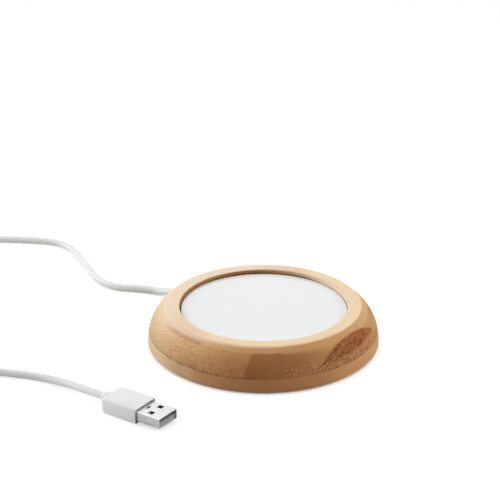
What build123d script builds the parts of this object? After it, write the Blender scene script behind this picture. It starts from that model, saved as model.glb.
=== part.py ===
from build123d import *
from math import cos, pi, radians, sin, tan
import os

# Electric mug warmer: a turned bamboo ring round a white heated plate, fed by a cord with a USB plug.
# Millimetres. +Z is up, the origin lies on the table under the middle of the ring, -Y faces the user.
# The warmer itself is built with its cord leaving along +X, and is then turned to exit_azimuth.

os.makedirs("parts", exist_ok=True)

# ---- Bamboo ring ---------------------------------------------------------------------------------
ring_diameter = 106.0        # across the foot of the ring
rim_height = 18.5            # top of the rim above the table
bore_diameter = 77.0         # round opening for the heating plate
rim_width = 5.8              # flat top of the rim
skirt_height = 1.2           # upright foot of the outer wall, below the rounded side
rebate_step = 5.5            # how much wider the rebate under the ring is than the bore, on one side
bore_edge = 0.5              # rounded edges of the ring
crease_edge = 0.3
foot_edge = 0.6

# ---- Base: feet, bottom cover and housing --------------------------------------------------------
foot_proud = 0.8             # how far the feet stand out below the cover
foot_diameter = 9.0
foot_recess = 0.8            # how deep the feet sit in the cover
foot_pitch = 34.0            # distance of the feet from the middle
foot_soft_edge = 0.3
cover_thickness = 1.8
cover_edge = 0.35
flange_thickness = 2.0
housing_wall = 1.6
housing_clearance = 0.3      # between the housing and the bore
rebate_clearance = 0.25      # between flange or cover and the rebate
boss_diameter = 6.0          # bosses that take the cover screws
boss_height = 7.0
boss_inset = 2.8             # from the inside of the housing wall to the middle of a boss
lug_thickness = 2.0          # lugs that carry the heating plate
lug_width = 7.0

# ---- Heating plate and what is pressed against its underside -------------------------------------
plate_recess = 2.0           # plate top below the rim
plate_thickness = 1.5
plate_gap = 0.5              # open gap round the plate
plate_edge = 0.6
gasket_thickness = 0.8
gasket_width = 1.2
standoff_diameter = 5.0
standoff_length = 5.5
standoff_inset = 3.6         # from the inside of the housing wall to the middle of a standoff
stack_clearance = 1.5        # between the standoffs and the pressure plate
stack_step = 1.0             # the film is this much smaller than the pressure plate, all round
film_thickness = 0.3
mica_thickness = 0.4
felt_thickness = 2.0
pressure_thickness = 0.8
stud_diameter = 3.0
stud_reach = 0.5             # stud end below its nut
washer_diameter = 7.0
washer_thickness = 0.5
nut_across_flats = 5.5
nut_height = 2.4

# ---- Thermostat and thermal fuse, each in a window of the stack ----------------------------------
sensor_offset = 16.0         # from the middle of the plate
window_clearance = 0.5       # round the thermostat and the sleeve, sideways
thermostat_length = 16.0
thermostat_width = 7.0
thermostat_height = 4.4
terminal_reach = 1.4
terminal_width = 1.2
terminal_thickness = 0.8
thermostat_edge = 0.8
fuse_diameter = 4.0
fuse_length = 11.0
fuse_lead_diameter = 0.8
sleeve_wall = 0.35
sleeve_length = 13.0
strap_thickness = 0.5
strap_width = 6.0
strap_flange = 4.0
strap_slack = 0.2
rivet_diameter = 2.0
rivet_head_diameter = 3.0
rivet_head_height = 0.6
rivet_head_edge = 0.3

# ---- Junction board and leads --------------------------------------------------------------------
board_depth = 14.0
board_width = 24.0
board_thickness = 1.2
board_post_height = 2.2
board_post_diameter = 4.4
board_corner = 1.0
board_screw_inset = (2.9, 3.1)       # from the inner edge, and from each side
pad_length = 2.2
pad_width = 1.8
pad_height = 1.4
pad_inset = 2.5              # heater pads from the sides of the board
cord_pad_pitch = 3.0         # cord pads from the cord's line
film_pad_size = 2.4
film_pad_thickness = 0.5
board_fuse_size = (6.0, 2.6, 2.0)
board_fuse_edge = 0.3
lead_diameter = 1.1
lead_lift = 0.15             # lead above the board it crosses
lead_room = 6.0              # from the cut end of the cord's jacket to the board
lead_bends = (0.35, 0.2)     # where the cord's conductors bend, as shares of that room
lead_straight = 1.8          # straight run of a lead out of a terminal, in lead diameters
conductor_pitch = 0.7        # conductors from the cord's line, where they leave the jacket
supply_bend = (3.4, 2.4)     # heater leads: run from the pad sideways, then rise to the terminal

# ---- Screws: thread, head diameter, head height, length ------------------------------------------
plate_screw = (2.4, 4.5, 1.6, 6.0)
cover_screw = (2.2, 4.2, 1.2, 7.0)
ring_screw = (2.5, 4.2, 1.2, 9.0)
board_screw = (2.0, 3.8, 1.2, 4.0)
clamp_screw = (2.2, 4.0, 1.4, 5.0)
thread_clearance = 0.1       # hole over thread, where a screw bites
pass_clearance = 0.4         # hole over thread, where a screw passes
hole_reserve = 0.6           # blind hole beyond the tip of its screw
recess_share = 0.5           # cross recess against the head
recess_arm = 0.25            # width of the cross against its length
head_round = 0.4             # rounding of a pan head against its height
thread_bevel = 0.15          # bevel of the tip against the thread
past = 1.0                   # how far a cutter runs past what it cuts

# ---- Cord, grommet and clamp ---------------------------------------------------------------------
cord_diameter = 3.4
cord_lift = 0.1              # inner cord above the cover, and free cord above the table (half of it)
exit_azimuth = 135.5         # where the cord leaves the ring, degrees from +X
slot_clearance = 0.4         # housing slot round the cord
grommet_wall = 0.75
grommet_clearance = 0.05
grommet_start = 0.2          # its inner end from the wall of the rebate
grommet_inset = 0.4          # its outer end from the widest part of the ring
boot_length = 5.0            # tapered part outside the ring
boot_tip_wall = 0.35
clamp_inset = 6.6            # from the inside of the housing wall to the middle of the clamp
clamp_width = 5.0
clamp_length = 16.0
clamp_thickness = 2.4
clamp_pitch = 5.4            # clamp screws from the cord's line
clamp_post_height = 2.4
clamp_post_diameter = 4.4
clamp_edge = 1.0
jacket_reach = 2.0           # cord jacket beyond the clamp

# ---- Cord's way across the table -----------------------------------------------------------------
exit_straight = 5.0          # straight run out of the boot
exit_landing = 13.4          # from the boot to where the cord meets the table
far_points = ((-57.6, 53.0), (-79.0, 56.0), (-93.5, 90.5), (-103.2, 110.8), (-128.0, 114.9),
              (-151.5, 114.8), (-173.5, 98.0))
coil_approach = 34.0         # straight run into the coil
coil_departure = 11.0        # straight run out of the coil, past its end
near_points = ((-148.0, -16.0), (-134.0, -34.0), (-113.0, -37.6), (-98.5, -41.4), (-86.0, -49.2))
near_lift = (0.0, 0.0, 0.0, 0.0, 0.5)
plug_straight = 9.0          # straight run into the neck of the plug

# ---- Coil of spare cord, and its tie -------------------------------------------------------------
coil_centre = (-158.5, 38.0)
coil_turn_radius = 25.4      # middle of the outermost turn
coil_layers = 2
coil_turns = 2560.0 / 360.0  # from the left side, 7 full turns and 40 degrees on
coil_start = 180.0           # where the cord comes in, degrees
coil_slack = 0.1
coil_edge = 1.2
coil_stub_in = 15.0          # straight ends of the cord that belong to the coil
coil_stub_out = 15.0
tie_azimuth = 60.0
tie_thickness = 0.6
tie_width = 4.0
tie_head = (5.0, 3.4, 2.4)
tie_edge = 0.35
tie_head_edge = 0.5

# ---- Plug, built along its own +X and laid on the table ------------------------------------------
plug_root = (-49.3, -75.3)   # where the metal shell leaves the moulding
plug_heading = -34.6         # degrees from +X
moulding_length = 18.2
moulding_width = 14.4
moulding_height = 7.2
moulding_edge = 1.4
moulding_front_edge = 0.4
moulding_back_edge = 1.2
neck_length = 4.4
neck_root_diameter = 6.4
neck_tip_diameter = 4.6
neck_groove = 0.35
neck_groove_width = 0.6
neck_groove_places = (0.3, 0.65)     # shares of the neck's length
shell_reach = 12.0
shell_hidden = 6.75
shell_width = 12.0
shell_height = 4.5
shell_sheet = 0.3
shell_edge = 0.5
shell_groove = 0.45          # open groove round the shell at its root
shell_groove_depth = 0.8
moulded_clearance = 0.05
latch_window = (2.3, 2.1)
latch_window_place = (5.7, 3.1)
shell_slot = (0.8, 2.6)
shell_slot_place = 1.8
tongue_thickness = 1.85
tongue_setback = 0.7
tongue_side = 0.1
contact_width = 1.0
contact_depth = 0.25
contact_rows = ((-3.5, 8.0), (-1.0, 7.0), (1.0, 7.0), (3.5, 8.0))   # place across, length
contact_setback = 1.2
core_length = 5.5

# ---- Heights and radii that follow ---------------------------------------------------------------
underside = foot_proud
cover_top = underside + cover_thickness
flange_top = cover_top + flange_thickness
plate_top = rim_height - plate_recess
plate_under = plate_top - plate_thickness
housing_top = plate_under - gasket_thickness
film_under = plate_under - film_thickness
mica_under = film_under - mica_thickness
felt_under = mica_under - felt_thickness
pressure_under = felt_under - pressure_thickness
washer_under = pressure_under - washer_thickness
nut_under = washer_under - nut_height
standoff_under = plate_under - standoff_length
lug_under = standoff_under - lug_thickness
board_under = cover_top + board_post_height
board_top = board_under + board_thickness
clamp_under = cover_top + clamp_post_height
cord_radius = cord_diameter / 2
exit_height = cover_top + cord_lift + cord_radius

ring_radius = ring_diameter / 2
bore_radius = bore_diameter / 2
crease_radius = bore_radius + rim_width
rebate_radius = bore_radius + rebate_step
flange_radius = rebate_radius - rebate_clearance
housing_radius = bore_radius - housing_clearance
housing_inside = housing_radius - housing_wall
plate_radius = bore_radius - plate_gap
standoff_pitch = housing_inside - standoff_inset
pressure_radius = standoff_pitch - standoff_diameter / 2 - stack_clearance
film_radius = pressure_radius - stack_step
boss_pitch = housing_inside - boss_inset
ring_screw_pitch = (bore_radius + flange_radius) / 2
clamp_place = housing_inside - clamp_inset
jacket_end = clamp_place - clamp_width / 2 - jacket_reach
board_edge = jacket_end - lead_room
board_place = board_edge - board_depth / 2
grommet_root = rebate_radius + grommet_start
grommet_end = ring_radius - grommet_inset
boot_end = grommet_end + boot_length
stud_hole = stud_diameter / 2 + thread_clearance

# Places round the middle, in degrees from the cord's exit
lug_angles = (60, 180, 300)
boss_angles = (30, 150, 270)
foot_angles = (45, 135, 225, 315)
ring_screw_angles = (45, 135, 225, 315)


# ---- Small helpers -------------------------------------------------------------------------------
def disc(radius, low, high, bore=0.0):
    """A round disc between two heights, with an optional hole in its middle."""
    face = Circle(radius)
    if bore > 0:
        face -= Circle(bore)
    return Pos(0, 0, low) * extrude(face, high - low)


def block(length, width, low, high, x=0.0, y=0.0):
    """An upright block between two heights."""
    return Pos(x, y, (low + high) / 2) * Box(length, width, high - low)


def turned(face):
    """A body turned about Z from a section drawn as (radius, height)."""
    return revolve(Plane.XZ * face, Axis.Z)


def polar(radius, angle):
    """A place at a distance and an angle from the middle, turned to face outwards."""
    return Rot(0, 0, angle) * Pos(radius, 0, 0)


def eased(face, corner, radius):
    """Round the corner of a flat face that lies nearest to a point."""
    return fillet(face.vertices().sort_by_distance((corner[0], corner[1], 0))[0], radius)


def slot(width, start, end, low, centre):
    """An upright slot along X, open below, with a round top."""
    section = Pos(0, (low + centre) / 2) * Rectangle(width, centre - low)
    section += Pos(0, centre) * Circle(width / 2)
    return Pos(start, 0, 0) * extrude(Plane.YZ * section, end - start)


def cross_recess(head_diameter, depth, low):
    """The cross in a screw's head, cut upwards from a height."""
    arm = head_diameter * recess_share
    wide = arm * recess_arm
    return block(arm, wide, low, low + depth) + block(wide, arm, low, low + depth)


def pan_screw(size):
    """A pan-head screw, tip up, with the seat of its head at z = 0."""
    thread, head, height, length = size
    body = disc(head / 2, -height, 0)
    body = fillet(body.edges().sort_by(Axis.Z)[0], height * head_round)
    body += disc(thread / 2, 0, length)
    body = chamfer(body.edges().sort_by(Axis.Z)[-1], thread * thread_bevel)
    return body - cross_recess(head, height / 2, -height)


def flush_screw(size):
    """A countersunk screw, tip up, with the face of its head at z = 0."""
    thread, head, height, length = size
    outline = Polyline((0, 0), (head / 2, 0), (thread / 2, height), (thread / 2, length - thread / 2),
                       (0, length), close=True)
    return turned(make_face(outline)) - cross_recess(head, height / 2, 0)


def flush_hole(size, depth):
    """What a countersunk screw needs cut for it, from z = 0 up to a depth."""
    thread, head, height, _ = size
    open_by = pass_clearance / 2
    outline = Polyline((0, 0), (head / 2 + open_by, 0), (thread / 2 + open_by, height),
                       (thread / 2 + open_by, depth), (0, depth), close=True)
    return turned(make_face(outline))


def path_radii(points):
    """The largest arc that each corner of a route has room for."""
    corners = [Vector(*p) for p in points]
    radii = []
    for before, here, after in zip(corners, corners[1:], corners[2:]):
        turn = (here - before).get_angle(after - here)
        shorter = min((here - before).length, (after - here).length)
        radii.append(0.45 * shorter / tan(radians(turn / 2)))
    return radii


def tube(points, radius):
    """A round tube along straight runs that are joined by tangent arcs."""
    path = FilletPolyline(*points, radius=path_radii(points))
    return sweep(Plane(origin=path @ 0, z_dir=path % 0) * Circle(radius), path=path)


# ---- Ring ----------------------------------------------------------------------------------------
def bamboo_ring():
    """The turned ring: flat rim, rounded side, bore, rebate, cord slot and pilot holes."""
    skirt_top = underside + skirt_height
    wall = Polyline((crease_radius, rim_height), (bore_radius, rim_height), (bore_radius, flange_top),
                    (rebate_radius, flange_top), (rebate_radius, underside), (ring_radius, underside),
                    (ring_radius, skirt_top))
    side = TangentArc((ring_radius, skirt_top), (crease_radius, rim_height), tangent=(0, 1))
    face = make_face(wall + side)
    face = eased(face, (bore_radius, rim_height), bore_edge)
    face = eased(face, (crease_radius, rim_height), crease_edge)
    face = eased(face, (ring_radius, underside), foot_edge)
    body = turned(face)
    width = cord_diameter + 2 * (grommet_wall + grommet_clearance)
    body -= slot(width, bore_radius - past, ring_radius + past, underside - past, exit_height)
    pilot = disc((ring_screw[0] + thread_clearance) / 2, cover_top, cover_top + ring_screw[3] + hole_reserve)
    for angle in ring_screw_angles:
        body -= polar(ring_screw_pitch, angle) * pilot
    return body


# ---- Base ----------------------------------------------------------------------------------------
def housing():
    """The inner housing: wall, flange, lugs under the plate and bosses for the cover."""
    body = disc(housing_radius, cover_top, housing_top, housing_inside)
    body += disc(flange_radius, cover_top, flange_top, housing_inside)
    for angle in lug_angles:
        lug = block(standoff_inset + housing_wall / 2, lug_width, lug_under, standoff_under,
                    x=(standoff_inset + housing_wall / 2) / 2)
        lug += disc(lug_width / 2, lug_under, standoff_under)
        body += polar(standoff_pitch, angle) * lug
    for angle in boss_angles:
        boss = disc(boss_diameter / 2, cover_top, cover_top + boss_height)
        boss += block(boss_inset + housing_wall / 2, boss_diameter / 2, cover_top, cover_top + boss_height,
                      x=(boss_inset + housing_wall / 2) / 2)
        body += polar(boss_pitch, angle) * boss
    for angle in lug_angles:
        body -= polar(standoff_pitch, angle) * disc((plate_screw[0] + pass_clearance) / 2,
                                                    lug_under - past, standoff_under + past)
    depth = cover_screw[3] - cover_thickness + hole_reserve
    for angle in boss_angles:
        body -= polar(boss_pitch, angle) * disc((cover_screw[0] + thread_clearance) / 2,
                                                cover_top - past, cover_top + depth)
    for angle in ring_screw_angles:
        body -= polar(ring_screw_pitch, angle) * Pos(0, 0, cover_top) * flush_hole(ring_screw,
                                                                                 flange_thickness + past)
    width = cord_diameter + 2 * slot_clearance
    return body - slot(width, housing_inside - past, flange_radius + past, cover_top - past, exit_height)


def bottom_cover():
    """The round cover: posts for board and clamp, countersinks and recesses for the feet."""
    body = disc(flange_radius, underside, cover_top)
    body = fillet(body.edges().filter_by(GeomType.CIRCLE).sort_by(Axis.Z)[0], cover_edge)
    for x, y, height, diameter in post_places():
        body += Pos(x, y, 0) * disc(diameter / 2, cover_top, cover_top + height)
    for x, y, top, size in post_screws():
        low = top - size[3] - hole_reserve / 2
        body -= Pos(x, y, 0) * disc((size[0] + thread_clearance) / 2, low, top + past)
    for angle in boss_angles:
        body -= polar(boss_pitch, angle) * Pos(0, 0, underside) * flush_hole(cover_screw,
                                                                           cover_thickness + past)
    for angle in foot_angles:
        body -= polar(foot_pitch, angle) * disc(foot_diameter / 2 + thread_clearance, underside - past,
                                                underside + foot_recess)
    return body


def post_places():
    """Posts on the cover: place, height and diameter."""
    board = [(x, y, board_post_height, board_post_diameter) for x, y in board_screw_places()]
    clamp = [(clamp_place, y, clamp_post_height, clamp_post_diameter) for y in (-clamp_pitch, clamp_pitch)]
    return board + clamp


def post_screws():
    """Screws into the posts: place, height of the head's seat, and size."""
    board = [(x, y, board_top, board_screw) for x, y in board_screw_places()]
    top = clamp_under + clamp_thickness
    return board + [(clamp_place, y, top, clamp_screw) for y in (-clamp_pitch, clamp_pitch)]


def board_screw_places():
    """The two screws of the board, near its inner edge."""
    x = board_edge - board_depth + board_screw_inset[0]
    y = board_width / 2 - board_screw_inset[1]
    return [(x, -y), (x, y)]


def feet():
    """Four soft round feet, set into the cover."""
    foot = disc(foot_diameter / 2, 0, underside + foot_recess)
    foot = fillet(foot.edges().filter_by(GeomType.CIRCLE).sort_by(Axis.Z)[0], foot_soft_edge)
    return [polar(foot_pitch, angle) * foot for angle in foot_angles]


def ring_screws():
    """Wood screws that hold the housing's flange against the ring."""
    return [polar(ring_screw_pitch, angle) * Pos(0, 0, cover_top) * flush_screw(ring_screw)
            for angle in ring_screw_angles]


def cover_screws():
    """Screws that close the cover."""
    return [polar(boss_pitch, angle) * Pos(0, 0, underside) * flush_screw(cover_screw)
            for angle in boss_angles]


# ---- Heating plate and its stack -----------------------------------------------------------------
def heating_plate():
    """The white plate that the mug stands on."""
    body = disc(plate_radius, plate_under, plate_top)
    return fillet(body.edges().filter_by(GeomType.CIRCLE).sort_by(Axis.Z)[-1], plate_edge)


def plate_gasket():
    """A flat soft ring between the plate and the housing."""
    middle = (housing_inside + housing_radius) / 2
    return disc(middle + gasket_width / 2, housing_top, plate_under, middle - gasket_width / 2)


def plate_standoffs():
    """Threaded standoffs under the plate."""
    bore = (plate_screw[0] + thread_clearance) / 2
    piece = disc(standoff_diameter / 2, standoff_under, plate_under, bore)
    return [polar(standoff_pitch, angle) * piece for angle in lug_angles]


def plate_screws():
    """Screws that draw the plate down on its gasket, up through the lugs."""
    return [polar(standoff_pitch, angle) * Pos(0, 0, lug_under) * pan_screw(plate_screw)
            for angle in lug_angles]


def windows(low, high):
    """The two openings of the stack in which the thermostat and the thermal fuse lie."""
    wide = thermostat_width + 2 * window_clearance
    narrow = sleeve_diameter() + 2 * window_clearance
    length = 2 * (terminal_tip() + lead_run() + film_pad_size)
    cut = block(length, wide, low, high, y=sensor_offset)
    return cut + block(length, narrow, low, high, y=-sensor_offset)


def stack_disc(radius, low, high, through=True):
    """One layer of the stack, with its stud hole and windows."""
    body = disc(radius, low, high, stud_hole)
    return body - windows(low - past, high + past) if through else body


def pressure_plate():
    """The steel plate that presses the stack up, with holes for the strap rivets."""
    body = stack_disc(pressure_radius, pressure_under, felt_under)
    for x, y in rivet_places():
        body -= Pos(x, y, 0) * disc((rivet_diameter + thread_clearance) / 2,
                                   pressure_under - past, felt_under + past)
    return body


def stud_nut():
    """The hexagon nut on the stud."""
    flats = RegularPolygon(nut_across_flats / 2, 6, major_radius=False) - Circle(stud_hole)
    return Pos(0, 0, nut_under) * extrude(flats, nut_height)


# ---- Thermostat and thermal fuse -----------------------------------------------------------------
def sleeve_diameter():
    """Outer diameter of the fuse's sleeve."""
    return fuse_diameter + 2 * (sleeve_wall + moulded_clearance)


def sensor_line():
    """Height of the fuse's middle, and of the thermostat's terminals."""
    return film_under - sleeve_diameter() / 2


def terminal_tip():
    """How far the terminals of thermostat and fuse reach, from their middle."""
    return thermostat_length / 2 + terminal_reach


def lead_run():
    """How far a lead runs straight out of a terminal."""
    return lead_straight * lead_diameter


def thermostat():
    """The flat metal-cased thermostat, with a terminal at each end."""
    body = block(thermostat_length, thermostat_width, film_under - thermostat_height, film_under)
    body = fillet(body.edges().filter_by(Axis.Z), thermostat_edge)
    line = sensor_line()
    body += block(2 * terminal_tip(), terminal_width, line - terminal_thickness / 2,
                  line + terminal_thickness / 2)
    return Pos(0, sensor_offset, 0) * body


def rod(radius, length, height):
    """A round rod along X at a height."""
    return Pos(0, 0, height) * Rot(0, 90, 0) * Cylinder(radius, length)


def thermal_fuse():
    """The one-shot fuse: a small barrel with a wire at each end."""
    line = sensor_line()
    body = rod(fuse_diameter / 2, fuse_length, line) + rod(fuse_lead_diameter / 2, 2 * terminal_tip(), line)
    return Pos(0, -sensor_offset, 0) * body


def fuse_sleeve():
    """The woven sleeve that insulates the fuse."""
    line = sensor_line()
    outer = rod(sleeve_diameter() / 2, sleeve_length, line)
    inner = rod(fuse_diameter / 2 + moulded_clearance, sleeve_length + 2 * past, line)
    return Pos(0, -sensor_offset, 0) * (outer - inner)


def strap_spans():
    """For each strap: place, half of its inside width, and depth under the pressure plate."""
    stack = film_under - pressure_under
    return ((sensor_offset, thermostat_width / 2 + strap_slack, thermostat_height - stack),
            (-sensor_offset, sleeve_diameter() / 2 + strap_slack, sleeve_diameter() - stack))


def sensor_straps():
    """Bent strips that hold the thermostat and the fuse up against the heater film."""
    straps = []
    t = strap_thickness
    for place, half, depth in strap_spans():
        side = half + t
        end = side + strap_flange
        outline = Polyline((-end, 0), (-half, 0), (-half, -depth), (half, -depth), (half, 0), (end, 0),
                           (end, -t), (side, -t), (side, -depth - t), (-side, -depth - t), (-side, -t),
                           (-end, -t), close=True)
        strip = Pos(-strap_width / 2, 0, 0) * extrude(Plane.YZ * make_face(outline), strap_width)
        strip = Pos(0, place, pressure_under) * strip
        for x, y in rivet_places():
            strip -= Pos(x, y, 0) * disc((rivet_diameter + thread_clearance) / 2, pressure_under - t - past,
                                         pressure_under + past)
        straps.append(strip)
    return straps


def rivet_places():
    """The middle of each strap flange."""
    return [(0, place + side * (half + strap_thickness + strap_flange / 2))
            for place, half, _ in strap_spans() for side in (-1, 1)]


def strap_rivets():
    """Rivets from the strap flanges into the pressure plate."""
    seat = pressure_under - strap_thickness
    rivet = disc(rivet_head_diameter / 2, seat - rivet_head_height, seat)
    rivet = fillet(rivet.edges().sort_by(Axis.Z)[0], rivet_head_edge)
    rivet += disc(rivet_diameter / 2, seat, felt_under)
    return [Pos(x, y, 0) * rivet for x, y in rivet_places()]


# ---- Junction board and leads --------------------------------------------------------------------
def junction_board():
    """The small board that joins the cord to the heater's leads."""
    body = block(board_depth, board_width, board_under, board_top, x=board_place)
    body = fillet(body.edges().filter_by(Axis.Z), board_corner)
    for x, y in board_screw_places():
        body -= Pos(x, y, 0) * disc((board_screw[0] + pass_clearance) / 2, board_under - past, board_top + past)
    return body


def board_pad_places():
    """Solder pads: two at the outer edge for the cord, one near each end for the heater."""
    x = board_edge - pad_length
    end = board_width / 2 - pad_inset
    return [(x, -cord_pad_pitch), (x, cord_pad_pitch), (x, -end), (x, end)]


def board_pads():
    """Solder joints on the board."""
    return [block(pad_length, pad_width, board_top, board_top + pad_height, x, y)
            for x, y in board_pad_places()]


def board_fuse():
    """The flat fuse on the board, inboard of the cord's pads."""
    length, width, height = board_fuse_size
    body = block(width, length, board_top, board_top + height, x=board_place - width / 2)
    return fillet(body.edges().filter_by(Axis.Z), board_fuse_edge)


def board_screws():
    """Screws that hold the board, heads up."""
    return [Pos(x, y, board_top) * Rot(180, 0, 0) * pan_screw(board_screw) for x, y in board_screw_places()]


def film_pads():
    """Solder joints on the heater film, one in each window."""
    x = -(terminal_tip() + lead_run())
    return [block(film_pad_size, film_pad_size, film_under - film_pad_thickness, film_under, x, y)
            for y in (-sensor_offset, sensor_offset)]


def cord_lead(side):
    """One conductor of the cord, from the jacket's end to its pad. Side is -1 or 1."""
    pad_x, pad_y = board_pad_places()[0][0] + pad_length / 2, side * cord_pad_pitch
    start, end = lead_bends
    line = side * conductor_pitch
    height = board_top + lead_diameter / 2 + lead_lift
    points = [(jacket_end, line, exit_height), (jacket_end - lead_room * start, line, exit_height),
              (board_edge + lead_room * end, pad_y, height), (pad_x, pad_y, height)]
    return tube(points, lead_diameter / 2)


def supply_lead(side):
    """The lead from a board pad up to the outer terminal of the thermostat or the fuse."""
    pad_x, pad_y = board_pad_places()[0][0], board_width / 2 - pad_inset + pad_width / 2
    low = board_top + lead_diameter / 2 + lead_lift
    line = sensor_line()
    tip = terminal_tip()
    rise = tip + lead_run()
    aside, up = supply_bend
    points = [(pad_x, pad_y, low), (pad_x, pad_y + aside, low), (rise + up, sensor_offset, low + up),
              (rise, sensor_offset, line), (tip, sensor_offset, line)]
    return tube([(x, side * y, z) for x, y, z in points], lead_diameter / 2)


def film_lead(side):
    """The short lead from the inner terminal up to the heater film."""
    line = sensor_line()
    tip = terminal_tip()
    points = [(-tip, side * sensor_offset, line), (-tip - lead_run(), side * sensor_offset, line),
              (-tip - lead_run(), side * sensor_offset, film_under - film_pad_thickness)]
    return tube(points, lead_diameter / 2)


# ---- Cord: clamp, grommet, inner length ----------------------------------------------------------
def cord_clamp():
    """The bar that grips the cord's jacket inside the housing."""
    top = clamp_under + clamp_thickness
    body = block(clamp_width, clamp_length, clamp_under, top, x=clamp_place)
    body = fillet(body.edges().filter_by(Axis.Z), clamp_edge)
    body -= Pos(clamp_place, 0, 0) * rod(cord_radius + grommet_clearance, clamp_width + 2 * past, exit_height)
    for y in (-clamp_pitch, clamp_pitch):
        body -= Pos(clamp_place, y, 0) * disc((clamp_screw[0] + pass_clearance) / 2,
                                              clamp_under - past, top + past)
    return body


def clamp_screws():
    """Screws of the clamp, heads up."""
    top = clamp_under + clamp_thickness
    return [Pos(clamp_place, y, top) * Rot(180, 0, 0) * pan_screw(clamp_screw)
            for y in (-clamp_pitch, clamp_pitch)]


def cord_grommet():
    """The soft grommet in the ring's slot, with its short tapered boot outside."""
    root = cord_radius + grommet_wall
    tip = cord_radius + boot_tip_wall
    body = slot(2 * root, grommet_root, grommet_end, underside + grommet_clearance, exit_height)
    boot = Pos(grommet_end + boot_length / 2, 0, exit_height) * Rot(0, 90, 0) * Cone(root, tip, boot_length)
    body += boot
    return body - Pos(grommet_end, 0, 0) * rod(cord_radius + grommet_clearance, ring_radius, exit_height)


def cord_inner():
    """The cord's jacket from inside the housing to the tip of the boot."""
    length = boot_end - jacket_end
    return Pos((boot_end + jacket_end) / 2, 0, 0) * rod(cord_radius, length, exit_height)


# ---- Cord: free length, coil and tie -------------------------------------------------------------
table_height = cord_radius + cord_lift / 2


def exit_point(distance, height):
    """A point straight out of the grommet, at a distance from the middle of the ring."""
    angle = radians(exit_azimuth)
    return (distance * cos(angle), distance * sin(angle), height)


def coil_end():
    """Where the cord leaves the coil: place, heading in degrees, and height."""
    angle = coil_start + 360 * coil_turns
    x = coil_centre[0] + coil_turn_radius * cos(radians(angle))
    y = coil_centre[1] + coil_turn_radius * sin(radians(angle))
    return x, y, angle + 90, table_height + (coil_layers - 1) * cord_diameter


def plug_point(x):
    """A point on the plug's axis."""
    angle = radians(plug_heading)
    return (plug_root[0] + x * cos(angle), plug_root[1] + x * sin(angle), moulding_height / 2)


def ahead(x, y, heading, distance, height):
    """A point at a distance along a heading."""
    return (x + distance * cos(radians(heading)), y + distance * sin(radians(heading)), height)


def far_route():
    """The cord from the ring, in its loose S across the table, round into the coil."""
    x, y = coil_centre[0] - coil_turn_radius, coil_centre[1]
    return [exit_point(boot_end, exit_height), exit_point(boot_end + exit_straight, exit_height),
            exit_point(boot_end + exit_landing, table_height),
            *[(*point, table_height) for point in far_points],
            (x, y + coil_approach, table_height), (x, y + coil_stub_in, table_height)]


def near_route():
    """The cord from the coil's upper layer down to the table and on to the plug."""
    x, y, heading, top = coil_end()
    neck = -(moulding_length + neck_length)
    return [ahead(x, y, heading, coil_stub_out, top), ahead(x, y, heading, coil_stub_out + coil_departure, top),
            *[(*point, table_height + lift) for point, lift in zip(near_points, near_lift)],
            plug_point(neck - plug_straight), plug_point(neck)]


def coil_section():
    """Inner and outer radius and height of the coil's outside."""
    inner = coil_turn_radius - coil_turns / coil_layers * cord_diameter
    return (inner - cord_radius - coil_slack, coil_turn_radius + cord_radius + coil_slack,
            coil_layers * cord_diameter + cord_lift)


def cord_coil():
    """The outside of the coil, with the two ends that leave it along its rim, less the tie."""
    inner, outer, height = coil_section()
    body = disc(outer, 0, height, inner)
    body = fillet(body.edges().filter_by(GeomType.CIRCLE), coil_edge)
    body = Pos(*coil_centre, 0) * body
    x, y, heading, top = coil_end()
    body += tube_stub((coil_centre[0] - coil_turn_radius, coil_centre[1]), 90, coil_stub_in, table_height)
    body += tube_stub((x, y), heading, coil_stub_out, top)
    return body - tie_place() * tie_band(moulded_clearance)


def tube_stub(place, heading, length, height):
    """A straight length of cord from a place along a heading."""
    piece = Pos(length / 2, 0, 0) * Rot(0, 90, 0) * Cylinder(cord_radius, length)
    return Pos(place[0], place[1], height) * Rot(0, 0, heading) * piece


def tie_place():
    """Where the tie goes round the coil."""
    inner, outer, _ = coil_section()
    return Pos(*coil_centre, 0) * polar((inner + outer) / 2, tie_azimuth)


def tie_band(extra=0.0):
    """The closed band of the tie, thicker by an extra amount where it is used as a cutter."""
    inner, outer, height = coil_section()
    wide = outer - inner
    hollow = block(wide - 2 * extra, 3 * tie_width, tie_thickness + extra, height - extra)
    if extra > 0:
        return block(wide + 2 * past, tie_width + 2 * extra, -past, height + past) - hollow
    return block(wide + 2 * tie_thickness, tie_width, 0, height + tie_thickness) - hollow


def cord_tie():
    """The tie: a band round the coil's section with a small head on top."""
    _, _, height = coil_section()
    length, width, tall = tie_head
    band = fillet(tie_band().edges().filter_by(Axis.Y).sort_by(Axis.Z)[-2:], tie_edge)
    head = block(length, width, height + tie_thickness, height + tie_thickness + tall)
    head = fillet(head.edges().filter_by(Axis.Z), tie_head_edge)
    return tie_place() * (band + head)


# ---- Plug ----------------------------------------------------------------------------------------
def plug_moulding():
    """The moulded grip: rounded block, bevelled behind, with a groove round the shell."""
    body = Pos(-moulding_length / 2, 0, 0) * Box(moulding_length, moulding_width, moulding_height)
    body = fillet(body.edges().filter_by(Axis.X), moulding_edge)
    back = body.faces().sort_by(Axis.X)[0]
    body = fillet(back.edges(), moulding_back_edge)
    front = body.faces().sort_by(Axis.X)[-1]
    body = fillet(front.edges(), moulding_front_edge)
    body -= Pos(-shell_hidden / 2, 0, 0) * Box(shell_hidden + 2 * moulded_clearance,
                                              shell_width + 2 * moulded_clearance,
                                              shell_height + 2 * moulded_clearance)
    body -= Pos(-shell_groove_depth / 2, 0, 0) * Box(shell_groove_depth, shell_width + 2 * shell_groove,
                                                    shell_height + 2 * shell_groove)
    return body


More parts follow.
